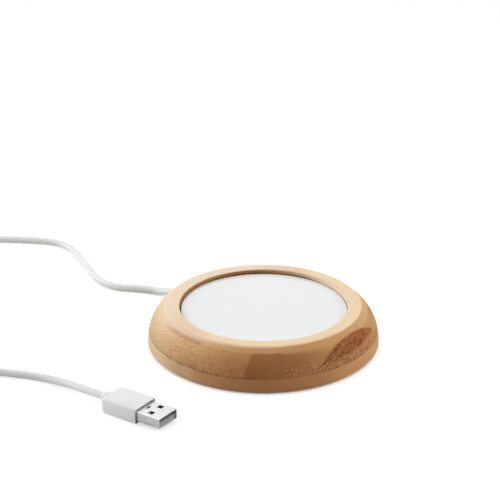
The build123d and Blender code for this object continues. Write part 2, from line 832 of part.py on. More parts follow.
def plug_neck():
    """The short tapered neck behind the moulding, with two grooves."""
    root, tip, length = neck_root_diameter / 2, neck_tip_diameter / 2, neck_length
    body = Rot(0, -90, 0) * Pos(0, 0, length / 2) * Cone(root, tip, length)
    for share in neck_groove_places:
        radius = root + (tip - root) * share
        groove = Cylinder(root + past, neck_groove_width) - Cylinder(radius - neck_groove, length)
        body -= Rot(0, -90, 0) * Pos(0, 0, length * share) * groove
    return Pos(-moulding_length, 0, 0) * body


def usb_shell():
    """The folded steel shell with its latch windows and root slot."""
    length = shell_hidden + shell_reach
    middle = (shell_reach - shell_hidden) / 2
    body = Pos(middle, 0, 0) * Box(length, shell_width, shell_height)
    body = fillet(body.edges().filter_by(Axis.X), shell_edge)
    body -= Pos(middle, 0, 0) * Box(length + 2 * past, shell_width - 2 * shell_sheet,
                                   shell_height - 2 * shell_sheet)
    x, y = latch_window_place
    for side in (-1, 1):
        body -= Pos(x, side * y, 0) * Box(*latch_window, shell_height + 2 * past)
    return body - Pos(shell_slot_place, 0, shell_height / 2) * Box(*shell_slot, 4 * shell_sheet)


def tongue_top():
    """Height of the contact side of the tongue, from the plug's axis."""
    return moulded_clearance + shell_sheet - shell_height / 2 + tongue_thickness


def usb_tongue():
    """The plastic tongue in the lower half of the shell, grooved for its contacts."""
    front = shell_reach - tongue_setback
    width = shell_width - 2 * (shell_sheet + tongue_side)
    top = tongue_top()
    body = block(front + shell_hidden, width, top - tongue_thickness, top, x=(front - shell_hidden) / 2)
    for y, length in contact_rows:
        body -= contact(y, length, moulded_clearance)
    return body


def contact(y, length, extra=0.0):
    """One contact strip, or its groove with an extra amount round it."""
    front = shell_reach - tongue_setback - contact_setback
    top = tongue_top()
    return block(length + 2 * extra, contact_width + 2 * extra, top - contact_depth - extra, top + extra,
                 x=front - length / 2, y=y)


def usb_contacts():
    """Four contact strips."""
    return [contact(y, length) for y, length in contact_rows]


def usb_core():
    """The block that fills the shell behind the mouth, above the tongue."""
    width = shell_width - 2 * (shell_sheet + tongue_side)
    top = shell_height / 2 - shell_sheet - moulded_clearance
    return block(core_length, width, tongue_top(), top, x=core_length / 2 - shell_hidden)


# ---- Assembly ------------------------------------------------------------------------------------
def save(name, pieces, place=Pos(0, 0, 0)):
    """Write one node, as one solid or as a group of separate solids."""
    pieces = pieces if isinstance(pieces, list) else [pieces]
    solids = [solid for piece in pieces for solid in (place * piece).solids()]
    shape = solids[0] if len(solids) == 1 else Compound(solids)
    export_step(shape, f"parts/{name}.step")
    return solids


def main():
    """Build every node and lay it in its place."""
    warmer = Rot(0, 0, exit_azimuth)
    own_nodes = {
        "bamboo_ring": bamboo_ring(), "housing": housing(), "bottom_cover": bottom_cover(), "feet": feet(),
        "ring_screws": ring_screws(), "cover_screws": cover_screws(),
        "heating_plate": heating_plate(), "plate_gasket": plate_gasket(), "plate_standoffs": plate_standoffs(),
        "plate_screws": plate_screws(),
        "heater_film": stack_disc(film_radius, film_under, plate_under, through=False),
        "mica_disc": stack_disc(film_radius, mica_under, film_under),
        "felt_pad": stack_disc(film_radius, felt_under, mica_under),
        "pressure_plate": pressure_plate(),
        "centre_stud": disc(stud_diameter / 2, nut_under - stud_reach, plate_under),
        "stud_washer": disc(washer_diameter / 2, washer_under, pressure_under, stud_hole),
        "stud_nut": stud_nut(),
        "thermostat": thermostat(), "thermal_fuse": thermal_fuse(), "fuse_sleeve": fuse_sleeve(),
        "sensor_straps": sensor_straps(), "strap_rivets": strap_rivets(), "film_pads": film_pads(),
        "junction_board": junction_board(), "board_pads": board_pads(), "board_fuse": board_fuse(),
        "board_screws": board_screws(), "lead_red": cord_lead(-1), "lead_black": cord_lead(1),
        "thermostat_leads": [supply_lead(1), film_lead(1)], "fuse_leads": [supply_lead(-1), film_lead(-1)],
        "cord_clamp": cord_clamp(), "clamp_screws": clamp_screws(), "cord_grommet": cord_grommet(),
        "cord_inner": cord_inner(),
    }
    for name, pieces in own_nodes.items():
        save(name, pieces, warmer)

    for name, points in (("cord", far_route()), ("cord_end", near_route())):
        solid = save(name, tube(points, cord_radius))[0]
        length = solid.volume / (pi * cord_radius ** 2)
        path = FilletPolyline(*points, radius=path_radii(points))
        print(name, "radii", [round(r, 1) for r in path_radii(points)], "length", round(path.length, 1),
              "from volume", round(length, 1))
    save("cord_coil", cord_coil())
    save("cord_tie", cord_tie())

    lie = Pos(plug_root[0], plug_root[1], moulding_height / 2) * Rot(0, 0, plug_heading)
    plug_nodes = {"plug_moulding": plug_moulding(), "plug_neck": plug_neck(), "usb_shell": usb_shell(),
                  "usb_tongue": usb_tongue(), "usb_contacts": usb_contacts(), "usb_core": usb_core()}
    for name, pieces in plug_nodes.items():
        save(name, pieces, lie)
    inner, outer, height = coil_section()
    turn_length = pi * (inner + outer)
    print("coil", round(inner, 2), round(outer, 2), round(height, 2), "cord in it",
          round(coil_turns * turn_length + coil_stub_in + coil_stub_out))


main()
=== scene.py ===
# %% [markdown]
# # A bamboo mug warmer
#
# The measured model gives every piece its place: a turned bamboo ring, a white heated plate let into
# it, and a thin white cord that ends in a plug. This lesson keeps the hidden pieces as they are, and
# models the ones that the eye meets again, with softer edges and finer steps. Then each surface gets
# the finish of its real material. Everything is in metres, with +Z up, and the middle of the ring
# stands over the origin. Sizes are written in millimetres, as on a drawing, and MM brings them down.

# %% Load the measured model
import math

import bpy
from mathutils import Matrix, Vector


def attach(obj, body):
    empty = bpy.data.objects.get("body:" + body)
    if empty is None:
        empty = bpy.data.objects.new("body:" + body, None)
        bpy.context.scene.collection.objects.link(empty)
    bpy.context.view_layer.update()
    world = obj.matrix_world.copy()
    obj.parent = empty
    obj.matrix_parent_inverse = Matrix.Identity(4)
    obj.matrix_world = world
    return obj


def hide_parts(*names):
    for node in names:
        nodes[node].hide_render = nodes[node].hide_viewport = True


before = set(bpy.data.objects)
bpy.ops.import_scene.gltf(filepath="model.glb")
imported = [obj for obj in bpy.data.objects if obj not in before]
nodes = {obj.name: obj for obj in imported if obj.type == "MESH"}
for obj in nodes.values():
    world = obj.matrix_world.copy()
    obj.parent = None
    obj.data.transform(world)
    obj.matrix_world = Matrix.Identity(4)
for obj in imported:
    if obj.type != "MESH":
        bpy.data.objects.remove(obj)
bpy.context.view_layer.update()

# %% [markdown]
# ## The camera
#
# The camera stands in front of the warmer, 0.76 m away, and looks 23 degrees down. Its lens is more
# than twice as long as a normal one, so that it can stand that far off, where a round ring isn't
# stretched at its near side. It comes first, because the cord is laid out for what it sees.

# %% Set up the camera
MM = 0.001                     # metres in a millimetre

camera_data = bpy.data.cameras.new("camera")
camera_data.sensor_width = 36.0
camera_data.lens = 118.351
camera = bpy.data.objects.new("camera", camera_data)
camera.location = (0.0, -0.682354, 0.335425)
camera.rotation_euler = (math.radians(90 - 23.059), 0.0, math.radians(0.5158))
bpy.context.scene.collection.objects.link(camera)
bpy.context.scene.camera = camera
print("camera lens in mm:", camera_data.lens)

# %% [markdown]
# ## The cord
#
# The cord is 1.25 m of round, soft PVC, 3.4 mm thick. It leaves the boot at the back left, drops to
# the table, and lies in a loose S. The length that isn't needed is put away in a flat coil of seven
# turns, first inwards on the table and then outwards on top of itself. It could be a mesh tube, but
# a cord is really one smooth line with a round section, so it is one NURBS curve with a bevel. The
# points of the route are listed. Only the turns of the coil are worked out, 24 to a turn.

# %% Write down the cord's route
CORD_RADIUS = 1.7 * MM
TABLE_LINE = 1.75              # height of the cord's middle on the table, mm

from_boot = [
    (-41.083, 40.372, 4.4), (-44.65, 43.877, 4.4), (-50.4, 49.3, TABLE_LINE), (-57.6, 52.4, TABLE_LINE),
    (-79.6, 54.9, TABLE_LINE), (-93.5, 90.0, TABLE_LINE), (-104.0, 110.6, TABLE_LINE),
    (-128.0, 114.8, TABLE_LINE), (-151.5, 114.8, TABLE_LINE), (-173.5, 98.0, TABLE_LINE),
    (-183.9, 72.0, TABLE_LINE), (-183.9, 53.0, TABLE_LINE),
]
to_plug = [
    (-168.316, 10.182, 5.15), (-161.245, 1.756, 5.15), (-148.0, -16.0, TABLE_LINE),
    (-134.0, -34.0, TABLE_LINE), (-113.0, -37.4, TABLE_LINE), (-98.5, -41.0, TABLE_LINE),
    (-85.4, -48.2, 2.25), (-75.1, -57.5, 3.6), (-67.903, -62.467, 3.6),
]
print("points written by hand:", len(from_boot) + len(to_plug))

# %% Work out the coil's turns
COIL_MIDDLE = (-158.5, 38.0)   # mm
COIL_RADIUS = 25.4             # middle of the outermost turn, mm
COIL_PITCH = 3.4               # one cord thickness from turn to turn, mm
COIL_DEGREES = 2560            # seven turns and a bit
STEP = 15                      # degrees between the curve's points
INSIDE = 0.75 + 0.25 * math.cos(math.radians(STEP))   # how far the curve runs inside its points
TIE_AZIMUTH = 60.0
TIE_BAND = 0.6                 # thickness of the band that the turns lie on, mm


def smooth_step(share):
    """Ease from 0 to 1."""
    share = min(max(share, 0.0), 1.0)
    return share * share * (3 - 2 * share)


def coil_point(wound):
    """A point of the coil, after so many degrees of winding."""
    half = COIL_DEGREES / 2
    radius = COIL_RADIUS - COIL_PITCH * (half - abs(wound - half)) / 360
    angle = math.radians(180 + wound)
    rise = smooth_step((wound - half + 45) / 90) * COIL_PITCH
    off_tie = math.radians((180 + wound - TIE_AZIMUTH + 180) % 360 - 180) * radius
    lift = (TIE_BAND + 0.05) * math.exp(-(off_tie / 9) ** 2)
    return (COIL_MIDDLE[0] + radius / INSIDE * math.cos(angle),
            COIL_MIDDLE[1] + radius / INSIDE * math.sin(angle), TABLE_LINE + rise + lift)


coil = [coil_point(wound) for wound in range(0, COIL_DEGREES + 1, STEP)]
print("points in the coil:", len(coil))

# %% Make the cord
# The bevel is 1 m deep, and the radius of each point brings it down to 1.7 mm. So every point knows
# how thick the cord really is, and the curve's box is as large as the cord.
cord_curve = bpy.data.curves.new("cord_line", "CURVE")
cord_curve.dimensions = "3D"
cord_curve.bevel_depth = 1.0
cord_curve.bevel_resolution = 5
cord_curve.use_fill_caps = True
line = cord_curve.splines.new("NURBS")
route = from_boot + coil + to_plug
line.points.add(len(route) - 1)
for point, (x, y, z) in zip(line.points, route):
    point.co = (x * MM, y * MM, z * MM, 1.0)
    point.radius = CORD_RADIUS
line.order_u = 3
line.use_endpoint_u = True
line.use_smooth = True
line.resolution_u = 6
cord = bpy.data.objects.new("white_cord", cord_curve)
bpy.context.scene.collection.objects.link(cord)
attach(cord, "root")
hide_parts("cord", "cord_coil", "cord_end")
print("cord points:", len(route))

# %% [markdown]
# ## The bamboo ring
#
# The real ring is glued up from bamboo plies, turned on a lathe and sanded. Its section is a flat rim,
# a side that swells out in one arc of 20 mm to an upright foot, a straight bore for the plate, and a
# rebate under it for the base. The arc is worked out from the sizes, so that it leaves the foot
# upright and meets the rim in the crease that the light picks out.

# %% Draw the ring's section
RING_RADIUS, CREASE_RADIUS, BORE_RADIUS, REBATE_RADIUS = 53.0, 44.3, 38.5, 44.0
RIM_HEIGHT, SKIRT_TOP, UNDERSIDE, FLANGE_TOP = 18.5, 2.0, 0.8, 4.6
SIDE_STEPS = 28                # facets in the arc of the side

rise, run = RIM_HEIGHT - SKIRT_TOP, RING_RADIUS - CREASE_RADIUS
side_radius = (rise ** 2 + run ** 2) / (2 * run)
side_angle = math.atan2(rise, side_radius - run)
side = []
for step in range(SIDE_STEPS + 1):
    angle = side_angle * step / SIDE_STEPS
    side.append((RING_RADIUS - side_radius + side_radius * math.cos(angle),
                 SKIRT_TOP + side_radius * math.sin(angle)))
# One more ring of edges on the rim and one in the bore keep their faces short.
ring_outline = [(REBATE_RADIUS, UNDERSIDE), (RING_RADIUS, UNDERSIDE), *side, (41.4, RIM_HEIGHT),
                (BORE_RADIUS, RIM_HEIGHT), (BORE_RADIUS, 11.5), (BORE_RADIUS, FLANGE_TOP),
                (REBATE_RADIUS, FLANGE_TOP)]
print("arc of the side in mm:", round(side_radius, 2))

# %% [markdown]
# A section can be spun round with the Spin tool. It can also be drawn up step by step: a circle is
# extruded and scaled, edge ring by edge ring, as a lathe would cut it. This lesson does the second,
# because each ring of edges then lies at a height where it is easy to select again. The first helper
# below starts every new piece. An operator acts on all that is selected, so it clears the selection
# before it adds its primitive.


# %% Turn the section
def start(name, maker, **settings):
    """Add one primitive with nothing else selected, fix its place, and open it for editing."""
    bpy.ops.object.select_all(action="DESELECT")
    maker(**settings)
    piece = bpy.context.object
    piece.name = name
    bpy.ops.object.transform_apply(location=True, rotation=True, scale=True)
    bpy.ops.object.mode_set(mode="EDIT")
    return piece


def lathe(name, outline, segments, closed=False):
    """Turn an outline of (radius, height) in mm about Z. An open outline gets a flat face at each end."""
    radius, height = outline[0]
    piece = start(name, bpy.ops.mesh.primitive_circle_add, vertices=segments, radius=radius * MM,
                  location=(0, 0, height * MM), fill_type="NOTHING" if closed else "NGON")
    bpy.ops.mesh.select_mode(type="EDGE")
    bpy.ops.mesh.select_all(action="SELECT")
    for (old_radius, old_height), (new_radius, new_height) in zip(outline, outline[1:]):
        bpy.ops.mesh.extrude_edges_move(
            TRANSFORM_OT_translate={"value": (0, 0, (new_height - old_height) * MM)})
        share = new_radius / old_radius
        bpy.ops.transform.resize(value=(share, share, 1), center_override=(0, 0, new_height * MM))
    if closed:
        bpy.ops.mesh.select_all(action="DESELECT")
        bpy.ops.mesh.select_non_manifold()
        bpy.ops.mesh.bridge_edge_loops()
    else:
        bpy.ops.mesh.edge_face_add()
    return piece


ring = lathe("bamboo_ring_turned", ring_outline, 288, closed=True)
print("rings of edges in the section:", len(ring_outline))

# %% [markdown]
# Sanding leaves no sharp edge. The crease stays almost crisp, the mouth of the bore is eased most, and
# the foot a little. By hand, one would click on an edge ring and bevel it. In code, the edges are
# picked by their height and radius. After the bevels the mesh is closed: doubles are merged, and all
# faces turn outwards.


# %% Pick the edges of the crease
def pick(piece, kind, test):
    """Select only what passes a test, and count it.

    The test gets a face's middle and normal, an edge's two ends, or the place of a vert.
    """
    bpy.ops.mesh.select_mode(type={"faces": "FACE", "edges": "EDGE", "verts": "VERT"}[kind])
    bpy.ops.mesh.select_all(action="DESELECT")
    bpy.ops.object.mode_set(mode="OBJECT")
    mesh = piece.data
    found = {"faces": mesh.polygons, "edges": mesh.edges, "verts": mesh.vertices}[kind]
    chosen = 0
    for item in found:
        if kind == "faces":
            passed = test(item.center, item.normal)
        elif kind == "edges":
            passed = test(*[mesh.vertices[v].co for v in item.vertices])
        else:
            passed = test(item.co)
        item.select = passed
        chosen += passed
    bpy.ops.object.mode_set(mode="EDIT")
    return chosen


def level(height, radius):
    """A test for the edges that lie flat at a height and a radius, both in mm."""
    def test(*ends):
        return all(abs(end.z - height * MM) <= 0.01 * MM
                   and abs(math.hypot(end.x, end.y) - radius * MM) < 0.02 * MM for end in ends)
    return test


print("edges in the crease:", pick(ring, "edges", level(RIM_HEIGHT, CREASE_RADIUS)))


# %% Round the ring's edges
def bevel_edges(piece, test, offset, segments):
    """Round the edges that pass a test."""
    count = pick(piece, "edges", test)
    bpy.ops.mesh.bevel(offset=offset * MM, segments=segments, affect="EDGES")
    return count


def close(piece, angle=30.0):
    """Merge doubles, turn the faces outwards, leave edit mode and shade smooth up to an angle."""
    bpy.context.view_layer.objects.active = piece
    bpy.ops.object.mode_set(mode="EDIT")
    bpy.ops.mesh.select_all(action="SELECT")
    bpy.ops.mesh.remove_doubles(threshold=0.001 * MM)
    bpy.ops.mesh.normals_make_consistent(inside=False)
    bpy.ops.object.mode_set(mode="OBJECT")
    bpy.ops.object.shade_smooth_by_angle(angle=math.radians(angle))


rounded = bevel_edges(ring, level(RIM_HEIGHT, CREASE_RADIUS), 0.12, 3)
rounded += bevel_edges(ring, level(RIM_HEIGHT, BORE_RADIUS), 0.65, 5)
rounded += bevel_edges(ring, level(UNDERSIDE, RING_RADIUS), 0.25, 3)
close(ring)
print("edges rounded:", rounded)

# %% [markdown]
# At the back left a rounded cutter made the slot for the cord, as a router would. It could be modelled
# by hand in the ring's faces, but a boolean with a block of the slot's shape leaves the same clean cut.
# The block is made along +X, where it is easy to shape, and then turned to the cord's exit.

# %% Shape the slot's cutter
EXIT_HEIGHT = 4.4              # middle of the cord where it comes out, mm


def slot_block(name, half_width, inner, outer, bottom):
    """A round-topped block along +X: a lying cylinder whose lower half is pressed down flat."""
    block = start(name, bpy.ops.mesh.primitive_cylinder_add, vertices=64, radius=half_width * MM,
                  depth=(outer - inner) * MM, rotation=(0, math.pi / 2, 0),
                  location=((outer + inner) / 2 * MM, 0, EXIT_HEIGHT * MM))
    pick(block, "verts", lambda v: v.z < (EXIT_HEIGHT - 0.01) * MM)
    bpy.ops.transform.resize(value=(1, 1, 0), center_override=(0, 0, bottom * MM))
    close(block)
    return block


cutter = slot_block("slot_cutter", 2.5, 37.5, 54.0, -0.4)
print("faces of the cutter:", len(cutter.data.polygons))

# %% Cut the cord's slot
EXIT_AZIMUTH = 135.5           # degrees


def only(piece):
    """Select one piece alone, and make it the active one."""
    bpy.ops.object.select_all(action="DESELECT")
    piece.select_set(True)
    bpy.context.view_layer.objects.active = piece


def place(piece, location=(0, 0, 0), rotation=(0, 0, 0)):
    """Turn a piece and move it, in degrees and mm, and keep that in its mesh."""
    piece.rotation_euler = [math.radians(r) for r in rotation]
    piece.location = [v * MM for v in location]
    only(piece)
    bpy.ops.object.transform_apply(location=True, rotation=True, scale=True)


def carve(piece, tool, operation="DIFFERENCE"):
    """Apply a boolean with a tool, and remove the tool."""
    only(piece)
    cut = piece.modifiers.new("cut", "BOOLEAN")
    cut.operation, cut.solver, cut.object = operation, "EXACT", tool
    bpy.ops.object.modifier_apply(modifier=cut.name)
    bpy.data.objects.remove(tool)


place(cutter, rotation=(0, 0, EXIT_AZIMUTH))
carve(ring, cutter)
print("faces with the slot:", len(ring.data.polygons))

# %% [markdown]
# Four wood screws hold the inner housing in the ring, and each of them bites in a blind hole. The
# holes could be left out, because only the underside would miss them, but a screw can't stand in solid
# wood. So four short cylinders are cut out of the ring, with the same boolean as the slot.


# %% Drill the pilot holes and hand the ring over
def hand_over(piece, slot, *nodes):
    """Let a finished piece ride on the model's one body and stand for its measured nodes."""
    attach(piece, "root")
    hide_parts(*nodes)
    print(piece.name, "faces:", len(piece.data.polygons))


# Each hole is made on +X and then turned to its place, so that the slot is halfway between two.
for turn in (45, 135, 225, 315):
    pilot = start("pilot", bpy.ops.mesh.primitive_cylinder_add, vertices=24, radius=1.3 * MM,
                  depth=9.6 * MM, location=(41.125 * MM, 0, 7.4 * MM))
    close(pilot)
    place(pilot, rotation=(0, 0, EXIT_AZIMUTH + turn))
    carve(ring, pilot)
close(ring)
hand_over(ring, "bamboo", "bamboo_ring")

# %% [markdown]
# ## The heating plate
#
# A flat aluminium disc, 1.5 mm thick, with a rounded edge. It sits 2 mm below the rim with half a
# millimetre of air all round, which draws the thin dark line. A cylinder would give the same disc, but
# it is turned like the ring, so that its rings of edges can be picked in the same way. Its upper edge
# is rounded with a bevel, and catches a soft highlight.

# %% Turn the heating plate
PLATE_RADIUS, PLATE_BOTTOM, PLATE_TOP = 38.0, 15.0, 16.5

plate = lathe("heated_plate", [(37.0, PLATE_BOTTOM), (PLATE_RADIUS, PLATE_BOTTOM),
                               (PLATE_RADIUS, PLATE_TOP), (36.5, PLATE_TOP), (20.0, PLATE_TOP)], 192)
bevel_edges(plate, level(PLATE_TOP, PLATE_RADIUS), 0.35, 5)
bevel_edges(plate, level(PLATE_BOTTOM, PLATE_RADIUS), 0.15, 2)
close(plate)
# The disc has half a millimetre of play all round, and lies a little to the front right.
place(plate, (0.25, -0.2, 0))
hand_over(plate, "white_enamel", "heating_plate")

# %% [markdown]
# ## The grommet and its boot
#
# A soft white piece fills the slot and grips the cord, and its tapered end keeps the cord from
# kinking. It could be two pieces that touch, but the real one is moulded in one, so a block with a
# round top is joined to a turned boot with three shallow grooves, and bored for the cord.

# %% Model the grommet
BOOT_START = 52.6              # where the block ends and the boot begins, mm from the middle

grommet = slot_block("soft_grommet", 2.45, 44.2, BOOT_START, 0.85)
boot_outline = [(2.45, -0.5), (2.45, 0.0), (2.4, 0.6), (2.38, 1.0), (2.1, 1.15), (2.1, 1.45), (2.32, 1.6),
                (2.28, 2.2), (2.02, 2.35), (2.02, 2.65), (2.24, 2.8), (2.19, 3.4), (1.98, 3.55),
                (1.98, 3.85), (2.14, 4.0), (2.08, 4.7), (1.98, 5.0)]
boot = lathe("boot", boot_outline, 48)
close(boot)
place(boot, location=(BOOT_START, 0, EXIT_HEIGHT), rotation=(0, 90, 0))
carve(grommet, boot, "UNION")
bore = start("bore", bpy.ops.mesh.primitive_cylinder_add, vertices=48, radius=1.75 * MM, depth=30 * MM,
             rotation=(0, math.pi / 2, 0), location=(51 * MM, 0, EXIT_HEIGHT * MM))
close(bore)
carve(grommet, bore)
close(grommet)
place(grommet, rotation=(0, 0, EXIT_AZIMUTH))
hand_over(grommet, "white_pvc", "cord_grommet")

# %% [markdown]
# ## The plug
#
# The plug is a block of white plastic, moulded round a folded steel shell. The block starts as a cube
# at its real size. Its long edges are rounded most, its back edges less and its front edges least,
# and its front face is inset and pushed in, first for the thin open groove round the shell and then
# for the pocket that holds it. It is modelled along +X, and laid on the table at the end.

# %% Model the moulded grip
PLUG_PLACE = (-49.3, -75.3, 3.6)   # middle of the grip's front face, mm
PLUG_HEADING = -34.6               # degrees
GRIP_LENGTH, GRIP_WIDTH, GRIP_HEIGHT = 18.2, 14.4, 7.2


def along_x(a, b):
    """A test for edges that run along the plug."""
    return abs(a.x - b.x) > 1 * MM


grip = start("plug_grip", bpy.ops.mesh.primitive_cube_add, size=1, location=(-GRIP_LENGTH / 2 * MM, 0, 0),
             scale=(GRIP_LENGTH * MM, GRIP_WIDTH * MM, GRIP_HEIGHT * MM))
bevel_edges(grip, along_x, 1.4, 7)
bevel_edges(grip, lambda a, b: max(a.x, b.x) < (0.3 - GRIP_LENGTH) * MM, 1.1, 5)
bevel_edges(grip, lambda a, b: min(a.x, b.x) > -0.1 * MM, 0.4, 4)
pick(grip, "faces", lambda c, n: n.x > 0.99 and c.x > -0.1 * MM)
# The open groove round the shell is 5.2 mm deep, so that its bottom lies in the dark.
for rim, depth in ((0.05, 5.2), (0.7, 1.6)):
    bpy.ops.mesh.inset(thickness=rim * MM)
    bpy.ops.mesh.extrude_region_move(TRANSFORM_OT_translate={"value": (-depth * MM, 0, 0)})
close(grip, 35)
place(grip, PLUG_PLACE, (0, 0, PLUG_HEADING))
hand_over(grip, "white_moulding", "plug_moulding")

# %% [markdown]
# The neck behind the grip is a short taper, with two grooves that let it bend with the cord. It could
# be a cone with rings cut in it, but it is round all through, so it is turned like the ring.

# %% Turn the neck
neck_outline = [(3.2, 0.0), (2.95, 1.0), (2.6, 1.12), (2.55, 1.5), (2.82, 1.65), (2.66, 2.5), (2.34, 2.62),
                (2.3, 3.0), (2.54, 3.15), (2.42, 3.95), (2.28, 4.3), (2.05, 4.4)]
neck = lathe("plug_neck_turned", neck_outline, 64)
close(neck, 40)
place(neck, (-GRIP_LENGTH, 0, 0), (0, -90, 0))
place(neck, PLUG_PLACE, (0, 0, PLUG_HEADING))
hand_over(neck, "white_moulding", "plug_neck")

# %% [markdown]
# ## The metal shell
#
# The shell is one strip of nickel-plated steel, 0.3 mm thick, folded into a rectangular tube. It could
# be a solid block with a hole cut in it, but sheet metal keeps one thickness round each corner. So a
# cube is rounded along its length, its two end faces are deleted, and Solidify gives it the thickness
# of the sheet, inwards.

# %% Fold the shell
SHELL_LENGTH, SHELL_WIDTH, SHELL_HEIGHT = 18.75, 12.0, 4.5
SHELL_REACH = 12.0             # how far it stands out of the grip, mm

shell = start("metal_shell", bpy.ops.mesh.primitive_cube_add, size=1,
              scale=(SHELL_LENGTH * MM, SHELL_WIDTH * MM, SHELL_HEIGHT * MM),
              location=((SHELL_REACH - SHELL_LENGTH / 2) * MM, 0, 0))
bevel_edges(shell, along_x, 0.2, 4)
pick(shell, "faces", lambda c, n: abs(n.x) > 0.99)
bpy.ops.mesh.delete(type="ONLY_FACE")
bpy.ops.object.mode_set(mode="OBJECT")
sheet_metal = shell.modifiers.new("sheet", "SOLIDIFY")
sheet_metal.thickness, sheet_metal.offset = 0.3 * MM, -1
bpy.ops.object.modifier_apply(modifier=sheet_metal.name)
print("shell faces before the windows:", len(shell.data.polygons))

# %% [markdown]
# The latch windows, two above and two below, let the springs of a socket catch the plug. On top there
# is also a small slot, close to the grip. In the factory a press punches them all out of the flat
# strip. Here the strip is folded already, so each one is cut through the tube with a small block, whose
# upright edges are rounded like the corners of the punch.


# %% Punch the windows and the slot
def punch(x, y, size, low, high, corner=0.15):
    """Cut a rectangular hole with rounded corners through the shell."""
    tool = start("punch", bpy.ops.mesh.primitive_cube_add, size=1,
                 scale=(size[0] * MM, size[1] * MM, (high - low) * MM),
                 location=(x * MM, y * MM, (high + low) / 2 * MM))
    bevel_edges(tool, lambda a, b: abs(a.z - b.z) > 1 * MM, corner, 5)
    close(tool)
    carve(shell, tool)


for across in (-3.1, 3.1):
    punch(5.7, across, (2.5, 2.3), 0.5, 3.5)
    punch(5.7, across, (2.5, 2.3), -3.5, -0.5)
punch(1.8, 0, (1.0, 2.7), 1.0, 3.5, 0.45)
close(shell, 35)
place(shell, PLUG_PLACE, (0, 0, PLUG_HEADING))
hand_over(shell, "nickel_steel", "usb_shell")

# %% [markdown]
# ## The tie of the coil
#
# A soft band goes once round the turns, with a small head on top. The band could follow each turn of
# the cord, but a pulled tie spans them in straight lines. So it is a flat loop with two rounded
# corners on top: a cube without two of its sides, thickened outwards.

# %% Model the tie's band
COIL_INNER, COIL_OUTER = 11.45, 27.25   # radii that the band goes round, mm
TIE_WIDTH = 4.0                         # mm

tie_top = TABLE_LINE + COIL_PITCH + 1.7 + TIE_BAND + 0.15
tie = start("coil_tie", bpy.ops.mesh.primitive_cube_add, size=1,
            scale=((COIL_OUTER - COIL_INNER) * MM, TIE_WIDTH * MM, (tie_top - TIE_BAND) * MM),
            location=(0, 0, (tie_top + TIE_BAND) / 2 * MM))
bevel_edges(tie, lambda a, b: abs(a.y - b.y) > 1 * MM and a.z > 3 * MM, 1.2, 5)
pick(tie, "faces", lambda c, n: abs(n.y) > 0.99)
bpy.ops.mesh.delete(type="ONLY_FACE")
bpy.ops.object.mode_set(mode="OBJECT")
band = tie.modifiers.new("band", "SOLIDIFY")
band.thickness, band.offset = TIE_BAND * MM, 1
bpy.ops.object.modifier_apply(modifier=band.name)
close(tie, 35)
print("band faces:", len(tie.data.polygons))

# %% Add the tie's head and lay it over the coil
# The head's lower edges stay sharp, because they lie inside the band, where the two are joined.
head_middle = tie_top + TIE_BAND + 0.75
tie_head = start("tie_head", bpy.ops.mesh.primitive_cube_add, size=1, location=(0, 0, head_middle * MM),
                 scale=(5.0 * MM, 3.6 * MM, 1.7 * MM))
bevel_edges(tie_head, lambda a, b: max(a.z, b.z) > head_middle * MM, 0.5, 3)
close(tie_head)
carve(tie, tie_head, "UNION")
close(tie, 35)
place(tie, ((COIL_INNER + COIL_OUTER) / 2, 0, 0))
place(tie, (*COIL_MIDDLE, 0), (0, 0, TIE_AZIMUTH))
hand_over(tie, "pale_tie", "cord_tie")

# %% [markdown]
# ## The coil's turns
#
# The cord's spare length lies in the coil that is worked out above. The cell below prints how many
# turns it has.

print("turns in the coil:", round(COIL_DEGREES / 360, 2))

# %% [markdown]
# ## Laminated bamboo
#
# Bamboo is a grass: its wood is a pale body with darker fibre bundles that all run one way. The ring
# is turned from a board of three glued plies, so its pattern is solid and goes right through, as in
# the real block. The upper and lower plies show long, calm grain. The middle ply is made of wide
# strips that run across them. It shows the cut ends of its bundles as fine dots at the front, and a
# dark heart where the outermost strip was turned through at a slant. All of that follows from one
# set of coordinates: d runs across the strips, u along them, and z up, all in mm.
#
# To the eye, sanded bamboo is a warm, dull surface with no clear reflection. Its finest fibres stand
# up a little, so it grows paler where it turns away: a little sheen on the shader gives that bloom.

# %% [markdown]
# A shader is a tree of nodes. It can be drawn by hand in the Shader Editor, or written down. Here it is
# written: one small function adds a node of any kind, sets it and links it, so that each line reads as
# one step. Colours are written as they look on a screen, and shaders want linear light, so another
# function turns the one into the other.


# %% Turn written colours into light
def linear(colour):
    """The linear colour of an sRGB hex value such as #ffffff."""
    parts = [int(colour[i:i + 2], 16) / 255 for i in (1, 3, 5)]
    return (*[p / 12.92 if p <= 0.04045 else ((p + 0.055) / 1.055) ** 2.4 for p in parts], 1.0)


print("white in linear light:", linear("#ffffff")[:3])


# %% Start the bamboo's material
def new_material(name, **constants):
    """A material whose plain values stand on the shader's own sockets."""
    material = bpy.data.materials.new(name)
    material.use_nodes = True
    shader = material.node_tree.nodes["Principled BSDF"]
    for socket, value in constants.items():
        shader.inputs[socket.replace("_", " ")].default_value = value
    return material, shader


bamboo, bamboo_shader = new_material("laminated_bamboo_sanded", Specular_IOR_Level=0.2, Sheen_Weight=0.06,
                                     Sheen_Roughness=0.5)
print("material:", bamboo.name)

# %% Lay out the bamboo's coordinates
ACROSS_AZIMUTH = 35.5          # turns the object's axes onto d and u, degrees


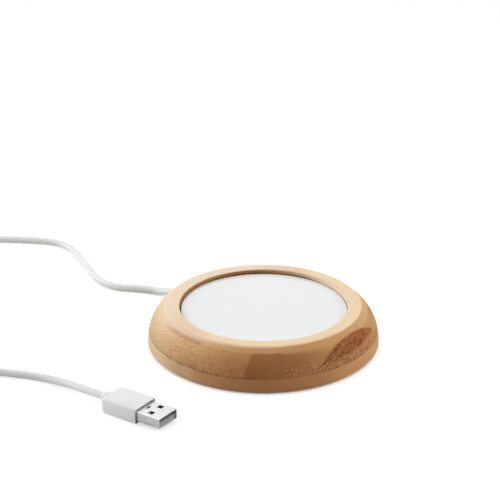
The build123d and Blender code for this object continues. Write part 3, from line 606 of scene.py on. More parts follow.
def add(material, kind, values=None, stops=(), **settings):
    """Add a node with its settings. Its values are constants, or sockets or nodes that are linked in."""
    tree = material.node_tree
    made = tree.nodes.new("ShaderNode" + kind)
    for name, value in settings.items():
        setattr(made, name, value)
    for name, value in (values or {}).items():
        if isinstance(value, bpy.types.Node):
            value = next(socket for socket in value.outputs if socket.enabled)
        if isinstance(value, bpy.types.NodeSocket):
            tree.links.new(value, made.inputs[name])
        else:
            made.inputs[name].default_value = value
    for index, (position, colour) in enumerate(stops):
        marks = made.color_ramp.elements
        mark = marks[index] if index < 2 else marks.new(position)
        mark.position, mark.color = position, colour
    return made


spot = add(bamboo, "TexCoord")
grid = add(bamboo, "Mapping", {"Vector": spot.outputs["Object"], "Scale": (1 / MM, 1 / MM, 1 / MM),
                               "Rotation": (0, 0, math.radians(ACROSS_AZIMUTH))})
d, u, z = add(bamboo, "SeparateXYZ", {"Vector": grid}).outputs
# Patches about 9 mm wide let the seams sway and the dots come and go.
patches = add(bamboo, "TexNoise", {"Vector": grid, "Scale": 0.11, "Detail": 2.0})
print("degrees from the object's X axis to d:", -ACROSS_AZIMUTH)

# %% Find the seams between the plies
LOWER_SEAM, UPPER_SEAM = 6.6, 16.2   # mm

sway = add(bamboo, "MapRange", {"Value": patches, "From Min": 0.3, "From Max": 0.7,
                                "To Min": -0.12, "To Max": 0.12})
height = add(bamboo, "Math", {0: z, 1: sway}, operation="ADD")
# At the right the middle ply pales into the upper one, so there the seam is soft.
seam_start = add(bamboo, "MapRange", {"Value": d, "From Min": 32, "From Max": 46, "To Min": UPPER_SEAM - 0.15,
                                      "To Max": UPPER_SEAM - 2.2})
# The upper joint was planed less well, so it also wavers every 2 mm or so.
dashes = add(bamboo, "TexNoise", {"Vector": grid, "Scale": 0.55, "Detail": 2.0})
waver = add(bamboo, "MapRange", {"Value": dashes, "From Min": 0.35, "From Max": 0.65,
                                 "To Min": -0.14, "To Max": 0.14})
top_height = add(bamboo, "Math", {0: height, 1: waver}, operation="ADD")
is_top = add(bamboo, "MapRange", {"Value": top_height, "From Min": seam_start,
                                  "From Max": UPPER_SEAM + 0.15})
is_low = add(bamboo, "MapRange", {"Value": height, "From Min": LOWER_SEAM + 0.15,
                                  "From Max": LOWER_SEAM - 0.15})
is_left = add(bamboo, "MapRange", {"Value": d, "From Min": 1.4, "From Max": -1.2})
print("seams at mm:", LOWER_SEAM, UPPER_SEAM)

# %% [markdown]
# ### The tones of the plies
#
# No two canes have the same tone, and each changes slowly from end to end. That could be painted on
# an image. A colour ramp along d does it without one, and stays sharp in any close-up. In the lists
# below, each pair is a place on d in mm and the tone there. Close pairs make a sharp joint, and far
# ones a slow change. Beside the canes' own tones, the ramps hold painted light: each ply is painted
# paler at the left, as painted sheen, and darker at the front, as painted shade.

# %% List the tones
# Beside the canes' own tones, these lists hold painted light: paler at the left as painted sheen, darker at
# the front as painted shade.
MIDDLE_TONES_AND_PAINTED_LIGHT = [(-60, "#d1b78e"), (-46.8, "#d6bc96"), (-46.6, "#d1b78e"), (-23.4, "#d3af84"),
                (-23.2, "#d3ad82"), (-8.6, "#c79863"), (-0.2, "#c69765"), (0.4, "#c89863"),
                (18.2, "#bc804e"), (23.3, "#ba7d4b"), (23.6, "#9d6537"), (30.2, "#a2693b"),
                (40.1, "#a66c40"), (46.6, "#b27b47"), (47.2, "#af7640"), (51.5, "#a86e3a"), (60, "#a86e3a")]
LOWER_TONES_AND_PAINTED_LIGHT = [(-60, "#dabe99"), (-22, "#d8b792"), (-8.6, "#c5a078"), (-1.2, "#c59e76"), (1.4, "#c18f63"),
               (5, "#c28f63"), (18.2, "#b68154"), (30.2, "#b47c4e"), (40.1, "#b67e51"), (47.3, "#ba8252"),
               (51.5, "#c28d57"), (60, "#c28d57")]
UPPER_TONES_AND_PAINTED_LIGHT = [(-60, "#e3c8a8"), (-22, "#e8cdad"), (-8.6, "#ebc4a2"), (-1.2, "#e6be99"), (1.4, "#e0b382"),
               (5, "#ddb17e"), (18.2, "#d8a36d"), (30.2, "#d49f6a"), (40.1, "#cd9861"), (48, "#c5955c"),
               (60, "#c29259")]
# The rim's tones are paler still: a painted highlight on the top face.
RIM_TONES_AND_PAINTED_HIGHLIGHT = [(-60, "#f5e0ca"), (-30, "#f2dbc2"), (-20, "#efd2b6"), (-8, "#eecdb1"), (0.5, "#f3d8b4"),
             (60, "#f2d6b2")]
print("tones:", len(MIDDLE_TONES_AND_PAINTED_LIGHT), len(LOWER_TONES_AND_PAINTED_LIGHT), len(UPPER_TONES_AND_PAINTED_LIGHT), len(RIM_TONES_AND_PAINTED_HIGHLIGHT))

# %% Give the plies their tones
RAMP_END = 60                  # the ramps run from -60 to 60 mm on d


def stops_along(pairs):
    """Turn pairs of a place on d and a tone, or a plain share, into the stops of a ramp."""
    stops = []
    for at, tone in pairs:
        colour = linear(tone) if isinstance(tone, str) else (tone, tone, tone, 1)
        stops.append(((at + RAMP_END) / (2 * RAMP_END), colour))
    return stops


along = add(bamboo, "MapRange", {"Value": d, "From Min": -RAMP_END, "From Max": RAMP_END})
middle, lower, upper, rim = [add(bamboo, "ValToRGB", {"Fac": along}, stops=stops_along(tones))
                             for tones in (MIDDLE_TONES_AND_PAINTED_LIGHT, LOWER_TONES_AND_PAINTED_LIGHT, UPPER_TONES_AND_PAINTED_LIGHT, RIM_TONES_AND_PAINTED_HIGHLIGHT)]
# The canes are yellower towards their right end.
to_end = add(bamboo, "MapRange", {"Value": u, "From Min": 0, "From Max": 24})
to_right = add(bamboo, "MapRange", {"Value": d, "From Min": 15, "From Max": 40})
yellowing = add(bamboo, "Math", {0: to_end, 1: to_right}, operation="MULTIPLY")
middle, lower, upper = [add(bamboo, "Mix", {0: yellowing, 6: tone, 7: (0.98, 1.13, 1.12, 1)},
                            data_type="RGBA", blend_type="MULTIPLY") for tone in (middle, lower, upper)]
# The middle ply is painted darker at its lower side and paler at its upper side, as painted light on
# the part of the side that turns up to the lamps. Towards the front this painted light grows weaker.
depth = add(bamboo, "MapRange", {"Value": z, "From Min": LOWER_SEAM, "From Max": UPPER_SEAM})
painted_top_light = add(bamboo, "ValToRGB", {"Fac": depth},
              stops=[(0.0, (0.86, 0.83, 0.8, 1)), (0.6, (1.04, 1.07, 1.1, 1)), (1.0, (1.24, 1.34, 1.46, 1))])
top_light_reach = add(bamboo, "MapRange", {"Value": d, "From Min": 23, "From Max": 36,
                                      "To Min": 1.0, "To Max": 0.35})
middle = add(bamboo, "Mix", {0: top_light_reach, 6: middle, 7: painted_top_light}, data_type="RGBA", blend_type="MULTIPLY")
print("nodes so far:", len(bamboo.node_tree.nodes))

# %% [markdown]
# ### The fibre bundles of the middle ply
#
# A cane is full of fibre bundles that run along it. Where the lathe cut across them, each one shows as
# a light dot in a darker body, and where it cut at a low angle, as a short lozenge or a slanting line.
# A noise would give blotches of any shape. A Voronoi pattern has one cell for each bundle, so it is
# used for all cut ends, stretched along the way that the bundles run.

# %% Draw the bundles' cut ends
# The bundles are close to half a millimetre thick. The dots are drawn 0.6 mm apart, which is just
# coarse enough to show, and 20 times longer along u.
bundle_place = add(bamboo, "Mapping", {"Vector": grid, "Scale": (1.0, 0.05, 1.1)})
bundles = add(bamboo, "TexVoronoi", {"Vector": bundle_place, "Scale": 1.65, "Randomness": 1.0})
patchy = add(bamboo, "MapRange", {"Value": patches, "From Min": 0.38, "From Max": 0.62, "To Min": 0.35})
fading = add(bamboo, "MapRange", {"Value": z, "From Min": 14.5, "From Max": 9.5, "To Min": 0.25})
shown = add(bamboo, "Math", {0: patchy, 1: fading}, operation="MULTIPLY")
# Right of the second joint the strip is so dense that its bundles hardly show.
loose = add(bamboo, "ValToRGB", {"Fac": along},
            stops=stops_along([(23.2, 1.0), (23.6, 0.3), (29, 0.35), (38, 1.0)]))
shown = add(bamboo, "Math", {0: shown, 1: loose}, operation="MULTIPLY")
ends = add(bamboo, "MapRange", {"Value": bundles, "From Min": 0.55, "From Max": 0.15, "To Max": 0.5})
light_ends = add(bamboo, "Math", {0: ends, 1: shown}, operation="MULTIPLY")
middle = add(bamboo, "Mix", {0: light_ends, 6: middle, 7: linear("#e0b07a")}, data_type="RGBA")
between = add(bamboo, "MapRange", {"Value": bundles, "From Min": 0.5, "From Max": 0.85, "To Max": 0.42})
dark_body = add(bamboo, "Math", {0: between, 1: shown}, operation="MULTIPLY")
middle = add(bamboo, "Mix", {0: dark_body, 6: middle, 7: linear("#7c4a28")}, data_type="RGBA")
print("nodes so far:", len(bamboo.node_tree.nodes))

# %% Draw the short lozenges below the dark heart
# In the outermost strip the bundles are cut at a low angle, so their ends are lozenges, 0.6 mm high
# and 2.4 mm long, that climb a little.
short_turn = add(bamboo, "VectorRotate", {"Vector": grid, "Angle": math.radians(-25)}, rotation_type="X_AXIS")
short_place = add(bamboo, "Mapping", {"Vector": short_turn, "Scale": (1.0, 0.4, 1.6)})
lozenges = add(bamboo, "TexVoronoi", {"Vector": short_place, "Scale": 1.2, "Randomness": 1.0})
outermost = add(bamboo, "MapRange", {"Value": d, "From Min": 43, "From Max": 46.5})
under = add(bamboo, "MapRange", {"Value": z, "From Min": 11.5, "From Max": 9.5})
shown = add(bamboo, "Math", {0: outermost, 1: under}, operation="MULTIPLY")
cores = add(bamboo, "MapRange", {"Value": lozenges, "From Min": 0.45, "From Max": 0.2, "To Max": 0.55})
light_cores = add(bamboo, "Math", {0: cores, 1: shown}, operation="MULTIPLY")
middle = add(bamboo, "Mix", {0: light_cores, 6: middle, 7: linear("#d69c64")}, data_type="RGBA")
edges = add(bamboo, "MapRange", {"Value": lozenges, "From Min": 0.45, "From Max": 0.75, "To Max": 0.65})
dark_edges = add(bamboo, "Math", {0: edges, 1: shown}, operation="MULTIPLY")
middle = add(bamboo, "Mix", {0: dark_edges, 6: middle, 7: linear("#7e4926")}, data_type="RGBA")
print("nodes so far:", len(bamboo.node_tree.nodes))

# %% Draw the slanted fibres at the left
# At the left the strips were split at a slant, so the fibres climb 20 degrees to the right. They are
# drawn 0.6 mm wide and 3 mm long, a little wider than they are, so that they show.
slant = add(bamboo, "VectorRotate", {"Vector": grid, "Angle": math.radians(20)}, rotation_type="Y_AXIS")
slant_place = add(bamboo, "Mapping", {"Vector": slant, "Scale": (0.3, 0.5, 1.9)})
fibres = add(bamboo, "TexNoise", {"Vector": slant_place, "Scale": 1.0, "Detail": 2.0})
in_split = add(bamboo, "MapRange", {"Value": d, "From Min": -32, "From Max": -18, "To Min": 0.3})
in_split = add(bamboo, "Math", {0: in_split, 1: is_left}, operation="MULTIPLY")
bright = add(bamboo, "MapRange", {"Value": fibres, "From Min": 0.53, "From Max": 0.63, "To Max": 0.4})
light_fibres = add(bamboo, "Math", {0: bright, 1: in_split}, operation="MULTIPLY")
middle = add(bamboo, "Mix", {0: light_fibres, 6: middle, 7: linear("#e6c096")}, data_type="RGBA")
dull = add(bamboo, "MapRange", {"Value": fibres, "From Min": 0.46, "From Max": 0.34, "To Max": 0.32})
dark_fibres = add(bamboo, "Math", {0: dull, 1: in_split}, operation="MULTIPLY")
middle = add(bamboo, "Mix", {0: dark_fibres, 6: middle, 7: linear("#9c6a40")}, data_type="RGBA")
print("nodes so far:", len(bamboo.node_tree.nodes))

# %% Darken the corner beside the strips' joint
# The strip left of the joint is densest in its lower corner.
to_joint = add(bamboo, "MapRange", {"Value": d, "From Min": -10, "From Max": 0.5, "To Max": 0.6})
this_side = add(bamboo, "MapRange", {"Value": d, "From Min": 1.8, "From Max": 1.3})
low_down = add(bamboo, "MapRange", {"Value": z, "From Min": 10, "From Max": 7.8})
corner = add(bamboo, "Math", {0: to_joint, 1: this_side}, operation="MULTIPLY")
corner = add(bamboo, "Math", {0: corner, 1: low_down}, operation="MULTIPLY")
middle = add(bamboo, "Mix", {0: corner, 6: middle, 7: linear("#a06f42")}, data_type="RGBA")
print("nodes so far:", len(bamboo.node_tree.nodes))

# %% [markdown]
# ### The grain, the rim and the bore
#
# In the upper and lower plies the canes lie along d, so their fibres show as long, fine streaks. A
# noise that is stretched along d draws them. The same streaks shade the rim, the gloss and the
# surface later on, so that all of them agree, as they do on real wood.

# %% Draw the long grain of the upper and lower plies
# Long fibres are about 0.6 mm wide. They make their ply 6 % darker or lighter.
long_place = add(bamboo, "Mapping", {"Vector": grid, "Scale": (0.03, 1.0, 1.5)})
streaks = add(bamboo, "TexNoise", {"Vector": long_place, "Scale": 1.2, "Detail": 4.0, "Roughness": 0.6})
grain = add(bamboo, "ValToRGB", {"Fac": streaks},
            stops=[(0.32, (0.94, 0.93, 0.92, 1)), (0.68, (1.06, 1.06, 1.06, 1))])
lower = add(bamboo, "Mix", {0: 1.0, 6: lower, 7: grain}, data_type="RGBA", blend_type="MULTIPLY")
upper = add(bamboo, "Mix", {0: 1.0, 6: upper, 7: grain}, data_type="RGBA", blend_type="MULTIPLY")
print("nodes so far:", len(bamboo.node_tree.nodes))

# %% Paint a highlight on the rim
# The flat rim is painted paler than the slope, as a painted highlight on the face that looks up to the
# lamps. At the left the pale tone reaches over the edge, as painted light on the rounded shoulder.
rim_start = add(bamboo, "MapRange", {"Value": d, "From Min": -8, "From Max": 40, "To Min": RIM_HEIGHT - 1.5,
                                     "To Max": RIM_HEIGHT - 0.5})
on_rim = add(bamboo, "MapRange", {"Value": z, "From Min": rim_start, "From Max": RIM_HEIGHT - 0.06})
rim = add(bamboo, "Mix", {0: 0.5, 6: rim, 7: grain}, data_type="RGBA", blend_type="MULTIPLY")
upper = add(bamboo, "Mix", {0: on_rim, 6: upper, 7: rim}, data_type="RGBA")
print("nodes so far:", len(bamboo.node_tree.nodes))

# %% Paint light and shade into the bore
# The bore's wall is painted brown at the back left, as painted shade, and pale at the right, as
# painted light where the wall faces the lamps.
flat = add(bamboo, "CombineXYZ", {0: d, 1: u})
radius = add(bamboo, "VectorMath", {0: flat}, operation="LENGTH")
inside = add(bamboo, "MapRange", {"Value": radius, "From Min": BORE_RADIUS + 0.5,
                                  "From Max": BORE_RADIUS + 0.3})
below = add(bamboo, "MapRange", {"Value": z, "From Min": 18.2, "From Max": 18.05})
in_bore = add(bamboo, "Math", {0: inside, 1: below}, operation="MULTIPLY")
bore_light_and_shade = add(bamboo, "ValToRGB", {"Fac": along}, stops=stops_along([(-25, "#b1783f"), (10, "#efdcc6")]))
# Painted shade: on the brown side, the gap below the plate's face is painted near black.
gap_shade = add(bamboo, "MapRange", {"Value": z, "From Min": 16.9, "From Max": 16.5, "To Max": 0.8})
shaded_side = add(bamboo, "MapRange", {"Value": d, "From Min": 10, "From Max": -25})
in_gap = add(bamboo, "Math", {0: gap_shade, 1: shaded_side}, operation="MULTIPLY")
bore_light_and_shade = add(bamboo, "Mix", {0: in_gap, 6: bore_light_and_shade, 7: linear("#4a2f1c")}, data_type="RGBA")
upper = add(bamboo, "Mix", {0: in_bore, 6: upper, 7: bore_light_and_shade}, data_type="RGBA")
print("nodes so far:", len(bamboo.node_tree.nodes))

# %% Put the plies together
whole = add(bamboo, "Mix", {0: is_low, 6: middle, 7: lower}, data_type="RGBA")
whole = add(bamboo, "Mix", {0: is_top, 6: whole, 7: upper}, data_type="RGBA")
print("nodes so far:", len(bamboo.node_tree.nodes))

# %% [markdown]
# ### The dark heart
#
# The outermost strip was turned through at a slant, which opens a dark lens with a clear lower edge.
# It could be a decal, but on the real block it is where one solid strip meets the turned side. So it
# is cut out by two planes: the joint of the strip, and a floor that climbs a little along u.

# %% Cut out the heart's outline
STRIP_EDGE = 46.9              # outermost joint of the middle ply, on d in mm

lens_floor = add(bamboo, "Math", {0: u, 1: 0.06, 2: 10.4}, operation="MULTIPLY_ADD")
above_floor = add(bamboo, "Math", {0: z, 1: lens_floor}, operation="SUBTRACT")
over_edge = add(bamboo, "MapRange", {"Value": above_floor, "From Min": -0.7, "From Max": 0.9})
past_joint = add(bamboo, "MapRange", {"Value": d, "From Min": STRIP_EDGE - 0.25,
                                      "From Max": STRIP_EDGE + 0.25})
in_lens = add(bamboo, "Math", {0: over_edge, 1: past_joint}, operation="MULTIPLY")
print("nodes so far:", len(bamboo.node_tree.nodes))

# %% Fill the heart with fibres
# The fibres lie in patches about 3 mm wide, with light cut ends and dark pores in them, which are drawn
# at 0.8 mm so that they show. Towards its tip the lens is thin, and the pale body shines through.
heart_turn = add(bamboo, "VectorRotate", {"Vector": grid, "Angle": math.radians(-20)}, rotation_type="X_AXIS")
heart_place = add(bamboo, "Mapping", {"Vector": heart_turn, "Scale": (0.8, 0.5, 1.3)})
heart_patches = add(bamboo, "TexNoise", {"Vector": heart_place, "Scale": 0.35, "Detail": 3.0})
heart = add(bamboo, "ValToRGB", {"Fac": heart_patches},
            stops=[(0.38, linear("#7f4118")), (0.62, linear("#a06030"))])
heart_ends = add(bamboo, "TexVoronoi", {"Vector": heart_place, "Scale": 1.25, "Randomness": 1.0})
specks = add(bamboo, "MapRange", {"Value": heart_ends, "From Min": 0.45, "From Max": 0.15, "To Max": 0.4})
heart = add(bamboo, "Mix", {0: specks, 6: heart, 7: linear("#bd8048")}, data_type="RGBA")
pores = add(bamboo, "MapRange", {"Value": heart_ends, "From Min": 0.5, "From Max": 0.8, "To Max": 0.35})
heart = add(bamboo, "Mix", {0: pores, 6: heart, 7: linear("#5a2c10")}, data_type="RGBA")
to_tip = add(bamboo, "MapRange", {"Value": u, "From Min": 4, "From Max": -9})
heart = add(bamboo, "Mix", {0: to_tip, 6: heart, 7: (1.06, 1.25, 1.65, 1)},
            data_type="RGBA", blend_type="MULTIPLY")
whole = add(bamboo, "Mix", {0: in_lens, 6: whole, 7: heart}, data_type="RGBA")
print("nodes so far:", len(bamboo.node_tree.nodes))

# %% [markdown]
# ### The glue
#
# Glue shows as a thin dark line in each joint, broken where the plies were planed well. The line could
# be modelled as a groove, but it is flush with the wood. So it is only a tone, close to the height of
# its seam, and it sways with it.


# %% Draw the glue lines
def glue_line(measured, seam, half_width):
    """A mask that is 1 where a measured height is that of a seam, and fades out beside it."""
    off = add(bamboo, "Math", {0: measured, 1: seam}, operation="SUBTRACT")
    away = add(bamboo, "Math", {0: off}, operation="ABSOLUTE")
    return add(bamboo, "MapRange", {"Value": away, "From Min": half_width, "From Max": half_width * 0.4})


broken = add(bamboo, "MapRange", {"Value": dashes, "From Min": 0.4, "From Max": 0.6,
                                  "To Min": 0.3, "To Max": 0.85})
low_strength = add(bamboo, "MapRange", {"Value": d, "From Min": 25, "From Max": 45,
                                        "To Min": 1.0, "To Max": 0.2})
top_start = add(bamboo, "MapRange", {"Value": d, "From Min": -1, "From Max": 1, "To Max": 0.5})
top_end = add(bamboo, "MapRange", {"Value": d, "From Min": 38, "From Max": 28})
top_strength = add(bamboo, "Math", {0: top_start, 1: top_end}, operation="MULTIPLY")
# The upper line shows only as short marks, 1 mm long.
mark_noise = add(bamboo, "TexNoise", {"Vector": grid, "Scale": 1.1, "Detail": 1.0})
marks = add(bamboo, "MapRange", {"Value": mark_noise, "From Min": 0.5, "From Max": 0.62})
top_strength = add(bamboo, "Math", {0: top_strength, 1: marks}, operation="MULTIPLY")
low_line = add(bamboo, "Math", {0: glue_line(height, LOWER_SEAM, 0.32), 1: low_strength},
               operation="MULTIPLY")
top_line = add(bamboo, "Math", {0: glue_line(top_height, UPPER_SEAM, 0.25), 1: top_strength},
               operation="MULTIPLY")
lines = add(bamboo, "Math", {0: low_line, 1: top_line}, operation="MAXIMUM")
glue = add(bamboo, "Math", {0: lines, 1: broken}, operation="MULTIPLY")
whole = add(bamboo, "Mix", {0: glue, 6: whole, 7: linear("#6e4122")}, data_type="RGBA")
print("nodes so far:", len(bamboo.node_tree.nodes))

# %% Smear some glue over the upper joint
# At the left a broad, soft brown shadow of glue lies over the upper joint.
smear_reach = add(bamboo, "MapRange", {"Value": d, "From Min": -27, "From Max": -17, "To Max": 0.55})
smear_left = add(bamboo, "Math", {0: smear_reach, 1: is_left}, operation="MULTIPLY")
smear = add(bamboo, "Math", {0: glue_line(height, UPPER_SEAM + 0.35, 0.95), 1: smear_left},
            operation="MULTIPLY")
whole = add(bamboo, "Mix", {0: smear, 6: whole, 7: linear("#b07c56")}, data_type="RGBA")
print("nodes so far:", len(bamboo.node_tree.nodes))

# %% Paint the shade in the pin-hole at the tip of the dark heart
# The hole isn't modelled, so its dark inside is painted shade.
from_hole = add(bamboo, "VectorMath", {0: grid, 1: (47.15, -20.29, 10.1)}, operation="DISTANCE")
hole_shade = add(bamboo, "MapRange", {"Value": from_hole, "From Min": 0.5, "From Max": 0.3})
whole = add(bamboo, "Mix", {0: hole_shade, 6: whole, 7: linear("#20140c")}, data_type="RGBA")
print("nodes so far:", len(bamboo.node_tree.nodes))

# %% [markdown]
# ### Gloss and surface
#
# On sanded bamboo the long fibres stand a little proud and look a little duller, and the cut ends lie
# a little low. The torn fibres of the dark heart hardly shine. A second noise could make the relief,
# but it wouldn't follow the grain. So the streaks that shade the colour also drive the roughness and a
# relief of a few hundredths of a millimetre.


# %% Let the grain touch gloss and surface
def dress(target, material):
    """Give a piece or a measured node its finish."""
    if target.data.materials:
        for slot in target.material_slots:
            slot.material = material
    else:
        target.data.materials.append(material)


gloss = add(bamboo, "MapRange", {"Value": streaks, "From Min": 0.3, "From Max": 0.7,
                                 "To Min": 0.5, "To Max": 0.62})
gloss = add(bamboo, "MapRange", {"Value": in_lens, "To Min": gloss, "To Max": 0.9})
relief_height = add(bamboo, "Math", {0: streaks, 1: light_ends}, operation="SUBTRACT")
relief = add(bamboo, "Bump", {"Height": relief_height, "Distance": 0.04 * MM, "Strength": 1.0})
for node, output, socket in ((whole, 2, "Base Color"), (gloss, 0, "Roughness"), (relief, 0, "Normal")):
    bamboo.node_tree.links.new(node.outputs[output], bamboo_shader.inputs[socket])
dress(ring, bamboo)
print("bamboo nodes:", len(bamboo.node_tree.nodes))

# %% [markdown]
# ## The other finishes that show
#
# Each of these is one material all through, such as steel or ABS, so a few numbers are enough: its
# colour and roughness, the real size of its grain in millimetres, and how strongly the grain shows.
# One plain value for each would look like plastic from a catalogue, so a little noise shades them.
# The comment on each says what it gives the eye.


# %% Write one recipe for an even finish, and bake the enamel with it
def finish(name, colour, roughness, grain, long=(1, 1, 1), turn=0.0, shade=0.04, bump=0.03, uneven=0.05,
           **constants):
    """One even material: its grain, in mm, shades the colour, the gloss and the surface a little."""
    material, shader = new_material(name, **constants)
    spot = add(material, "TexCoord")
    size = [grain * MM * times for times in long]
    grains = add(material, "Mapping", {"Vector": spot.outputs["Object"], "Scale": size,
                                       "Rotation": (0, 0, math.radians(turn))}, vector_type="TEXTURE")
    noise = add(material, "TexNoise", {"Vector": grains, "Scale": 1.0, "Detail": 3.0})
    base = linear(colour)
    dark, light = [[min(c * (1 + way * shade), 1.0) for c in base[:3]] + [1.0] for way in (-1, 1)]
    tones = add(material, "ValToRGB", {"Fac": noise}, stops=[(0.3, dark), (0.7, light)])
    gloss = add(material, "MapRange", {"Value": noise, "From Min": 0.3, "From Max": 0.7,
                                       "To Min": max(roughness - uneven, 0.02), "To Max": roughness + uneven})
    relief = add(material, "Bump", {"Height": noise, "Distance": bump * MM, "Strength": 1.0})
    for node, socket in ((tones, "Base Color"), (gloss, "Roughness"), (relief, "Normal")):
        material.node_tree.links.new(node.outputs[0], shader.inputs[socket])
    return material


# Sprayed and baked enamel on aluminium: a thick white coat, smooth to the touch. Its faint ripple,
# 3.5 mm from crest to crest, makes the reflections waver.
enamel = finish("baked_white_enamel", "#f1f3f4", 0.16, 3.5, shade=0.006, bump=0.006, uneven=0.02,
                Coat_Weight=0.5, Coat_Roughness=0.06)
print("nodes in the enamel:", len(enamel.node_tree.nodes))

# %% Make the other finishes that show
# Extruded soft PVC: a dull skin that lets some light in, so its shadow side is milky and never dark.
cord_skin = finish("extruded_white_soft_PVC", "#dededd", 0.5, 0.8, shade=0.012, bump=0.01,
                   Subsurface_Weight=0.9, Subsurface_Radius=(1.0, 1.0, 1.0), Subsurface_Scale=4 * MM)
# PVC moulded in a finely eroded mould: an even satin white with wide, soft highlights.
grip_skin = finish("moulded_white_PVC", "#eeefee", 0.42, 0.35, shade=0.01, bump=0.006)
# Nickel plate on drawn steel strip: a bright metal whose drawing marks, 0.25 mm apart and long, run
# along the shell and smear its reflections that way.
nickel = finish("nickel_plated_steel", "#e5e6e6", 0.3, 0.25, long=(12, 1, 1), turn=PLUG_HEADING, shade=0.015,
                bump=0.002, uneven=0.06, Metallic=1.0)
# Moulded polyethylene: waxy, a little greyer than the cord.
tie_skin = finish("moulded_pale_polyethylene", "#d9dad8", 0.5, 0.6, shade=0.02, bump=0.01)
for piece, skin in ((plate, enamel), (cord, cord_skin), (grommet, cord_skin), (grip, grip_skin),
                    (neck, grip_skin), (shell, nickel), (tie, tie_skin)):
    dress(piece, skin)
    print(piece.name, "->", skin.name)

# %% [markdown]
# ## The finishes of the inside
#
# Nobody sees these until the warmer is opened. One grey for all of them would be quicker, but an
# opened warmer would then show nothing of how it is built. So each measured piece gets what it is
# really made of: metals bright or dull by how they were worked, plastics by their mould, and sleeves
# and felt by their weave.

# %% Make the finishes of the metal parts inside
# Zinc-plated steel is cool and grey, with a slightly cloudy gloss from the plating bath.
steel = finish("zinc_plated_steel", "#c3c5c8", 0.34, 0.3, shade=0.06, uneven=0.1, Metallic=1.0)
# Turned brass shows a warm, clear gloss with fine rings from the tool.
brass = finish("turned_brass", "#d6b56a", 0.28, 0.2, long=(4, 4, 1), Metallic=1.0)
# Drawn aluminium is pale and satin.
aluminium = finish("drawn_aluminium", "#cfd0d2", 0.3, 0.4, long=(5, 1, 1), Metallic=1.0)
# Gold flash on spring contacts is thin and mirror-like.
gold = finish("gold_plated_contact", "#e5bf63", 0.2, 0.3, shade=0.05, Metallic=1.0)
# Solder freezes from a liquid, so it is bright and a little lumpy.
solder = finish("tin_solder", "#c9cacc", 0.25, 0.7, shade=0.06, bump=0.05, Metallic=1.0)
metal_nodes = {
    steel: ("ring_screws", "cover_screws", "plate_screws", "pressure_plate", "centre_stud", "stud_washer",
            "stud_nut", "sensor_straps", "strap_rivets", "board_screws", "clamp_screws"),
    brass: ("plate_standoffs",), aluminium: ("thermostat", "thermal_fuse"), gold: ("usb_contacts",),
    solder: ("film_pads", "board_pads"),
}
for skin, names in metal_nodes.items():
    for name in names:
        dress(nodes[name], skin)
    print(skin.name, "->", len(names), "nodes")

# %% Make the finishes of the other parts inside
# Plastics and rubbers take the fine grain of their mould. Film, mica and solder mask are glossy and
# uneven in tone. Felt and woven sleeve are dull, with a thread that shows.
abs_white = finish("moulded_white_ABS", "#e6e6e2", 0.5, 0.3, shade=0.01, bump=0.01)
insulator = finish("moulded_grey_insulator", "#929494", 0.45, 0.3, bump=0.008)
white_wire = finish("white_silicone_insulation", "#e4e4df", 0.5, 0.5, bump=0.02)
other_nodes = {
    abs_white: ("housing", "bottom_cover", "cord_clamp"),
    cord_skin: ("cord_inner",),
    insulator: ("usb_tongue", "usb_core"),
    white_wire: ("thermostat_leads", "fuse_leads"),
    finish("pale_silicone_rubber", "#d9d9d6", 0.7, 0.5, bump=0.02): ("feet",),
    finish("grey_silicone_rubber", "#45464a", 0.7, 0.5, bump=0.02): ("plate_gasket",),
    finish("polyimide_film", "#c8752a", 0.2, 2.0, shade=0.08, bump=0.01, Coat_Weight=0.6): ("heater_film",),
    finish("pressed_mica", "#b9a684", 0.35, 1.8, shade=0.18, bump=0.03): ("mica_disc",),
    finish("glass_fibre_felt", "#e3e0d4", 0.95, 0.5, long=(1, 3, 0.5), shade=0.1, bump=0.15): ("felt_pad",),
    finish("woven_glass_sleeve", "#e2ddcb", 0.85, 0.45, long=(1, 0.5, 1), shade=0.12,
           bump=0.12): ("fuse_sleeve",),
    finish("green_solder_mask", "#1c5a36", 0.25, 1.5, shade=0.12, Coat_Weight=0.4): ("junction_board",),
    finish("moulded_black_part", "#1b1b1c", 0.45, 0.2, bump=0.01): ("board_fuse",),
    finish("red_PVC_insulation", "#b3201c", 0.35, 0.5): ("lead_red",),
    finish("black_PVC_insulation", "#191919", 0.35, 0.5): ("lead_black",),
}
for skin, names in other_nodes.items():
    for name in names:
        dress(nodes[name], skin)
    print(skin.name, "->", len(names), "nodes")

# %% [markdown]
# ## The table and the light
#
# The warmer stands on a plain white table under soft studio light: an even white world, one large
# lamp above and one at each side. One strong sun would be simpler, but it would draw hard shadows. The
# side lamps make the ring's flanks brighter than its front. The light is at a plain level, where a
# colour shows about as it is written.
#
# A white table under that light would look pale grey. More light would wash out the bamboo, so the
# table itself is brighter, and only for the camera: it is white beside the ring, and keeps the thin
# soft shadow there. Further off it washes out to plain white, as an overexposed backdrop does. To
# metal it is a little darker than to the camera, so that the shell shows some grey.

# %% Lay the table
bpy.ops.object.select_all(action="DESELECT")
bpy.ops.mesh.primitive_plane_add(size=12, location=(0, 0, 0))
table = bpy.context.object
table.name = "table"
print("table size in m:", tuple(table.dimensions[:2]))

# %% Start the table's material
table_skin = bpy.data.materials.new("matt_white_table")
table_skin.use_nodes = True
tree = table_skin.node_tree
tree.nodes.remove(tree.nodes["Principled BSDF"])
sight = add(table_skin, "LightPath")
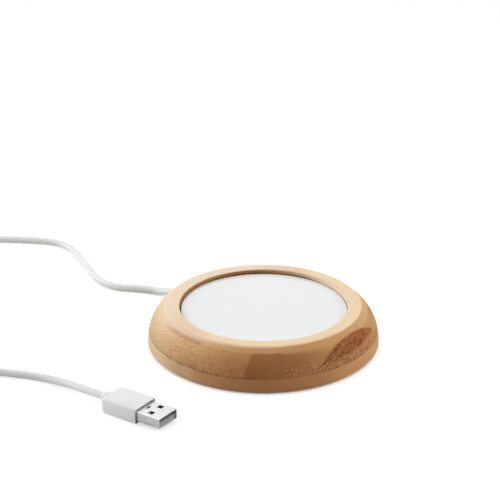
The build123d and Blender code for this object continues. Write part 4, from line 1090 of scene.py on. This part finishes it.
# The bamboo sees a plain matt white, and metal a dimmer one. The camera sees two matt whites added
# together, with a faint glow on top.
plain = add(table_skin, "BsdfDiffuse", {"Color": (0.92, 0.92, 0.92, 1)})
dim = add(table_skin, "BsdfDiffuse", {"Color": (0.68, 0.68, 0.68, 1)})
bright = add(table_skin, "BsdfDiffuse", {"Color": (0.95, 0.95, 0.95, 1)})
brighter = add(table_skin, "BsdfDiffuse", {"Color": (0.4, 0.4, 0.4, 1)})
glow = add(table_skin, "Emission", {"Color": (1, 1, 1, 1), "Strength": 0.05})
for_camera = add(table_skin, "AddShader", {0: bright, 1: brighter})
for_camera = add(table_skin, "AddShader", {0: for_camera, 1: glow})
print("table nodes:", len(tree.nodes))

# %% Wash the table out further off
# The shadow is full up to 6 cm from the middle of the ring. From 10 cm on a third of it is left, and
# from 60 cm on nothing.
place_on_table = add(table_skin, "TexCoord")
distance = add(table_skin, "VectorMath", {0: place_on_table.outputs["Object"]}, operation="LENGTH")
by_cord = add(table_skin, "MapRange", {"Value": distance, "From Min": 0.06, "From Max": 0.1, "To Max": 0.68})
far_off = add(table_skin, "MapRange", {"Value": distance, "From Min": 0.3, "From Max": 0.6})
washed_out = add(table_skin, "Math", {0: by_cord, 1: far_off}, operation="MAXIMUM")
white = add(table_skin, "Emission", {"Color": (1, 1, 1, 1), "Strength": 1.0})
for_camera = add(table_skin, "MixShader", {0: washed_out, 1: for_camera, 2: white})
print("table nodes:", len(tree.nodes))

# %% Choose what each kind of ray sees of the table
is_gloss = add(table_skin, "Math", {0: sight.outputs["Is Glossy Ray"],
                                    1: sight.outputs["Is Transmission Ray"]}, operation="MAXIMUM")
other = add(table_skin, "MixShader", {0: is_gloss, 1: plain, 2: dim})
seen = add(table_skin, "MixShader", {0: sight.outputs["Is Camera Ray"], 1: other, 2: for_camera})
tree.links.new(seen.outputs[0], tree.nodes["Material Output"].inputs["Surface"])
dress(table, table_skin)
print("table nodes:", len(tree.nodes))

# %% Light the room
# The sky is white to the camera and in the shine of metal, and lights everything else at a quarter of
# that.
world = bpy.data.worlds.new("studio")
bpy.context.scene.world = world
world.use_nodes = True
background = world.node_tree.nodes["Background"]
background.inputs["Color"].default_value = (1, 1, 1, 1)
world_sight = add(world, "LightPath")
seen_sky = add(world, "Math", {0: world_sight.outputs["Is Camera Ray"],
                               1: world_sight.outputs["Is Glossy Ray"]}, operation="MAXIMUM")
seen_sky = add(world, "Math", {0: seen_sky, 1: world_sight.outputs["Is Transmission Ray"]},
               operation="MAXIMUM")
sky_level = add(world, "MapRange", {"Value": seen_sky, "To Min": 0.25, "To Max": 1.0})
world.node_tree.links.new(sky_level.outputs[0], background.inputs["Strength"])
print("world nodes:", len(world.node_tree.nodes))


# %% Hang the lamps
def hang_lamp(name, location, size, power):
    """A square soft lamp that looks at the warmer."""
    data = bpy.data.lights.new(name, "AREA")
    data.shape, data.size, data.energy = "SQUARE", size, power
    lamp = bpy.data.objects.new(name, data)
    lamp.location = location
    lamp.rotation_euler = (Vector((0, 0, 0)) - Vector(location)).to_track_quat("-Z", "Y").to_euler()
    bpy.context.scene.collection.objects.link(lamp)
    print(name, "power in W:", power)


hang_lamp("lamp_above", (0.0, 0.3, 1.4), 1.0, 6.2)
hang_lamp("lamp_left", (-1.13, 0.28, 0.48), 1.0, 11.0)
hang_lamp("lamp_right", (1.14, 0.2, 0.48), 1.0, 10.5)
# Standard shows a colour as it is written. Filmic views would grey the whites.
bpy.context.scene.view_settings.view_transform = "Standard"
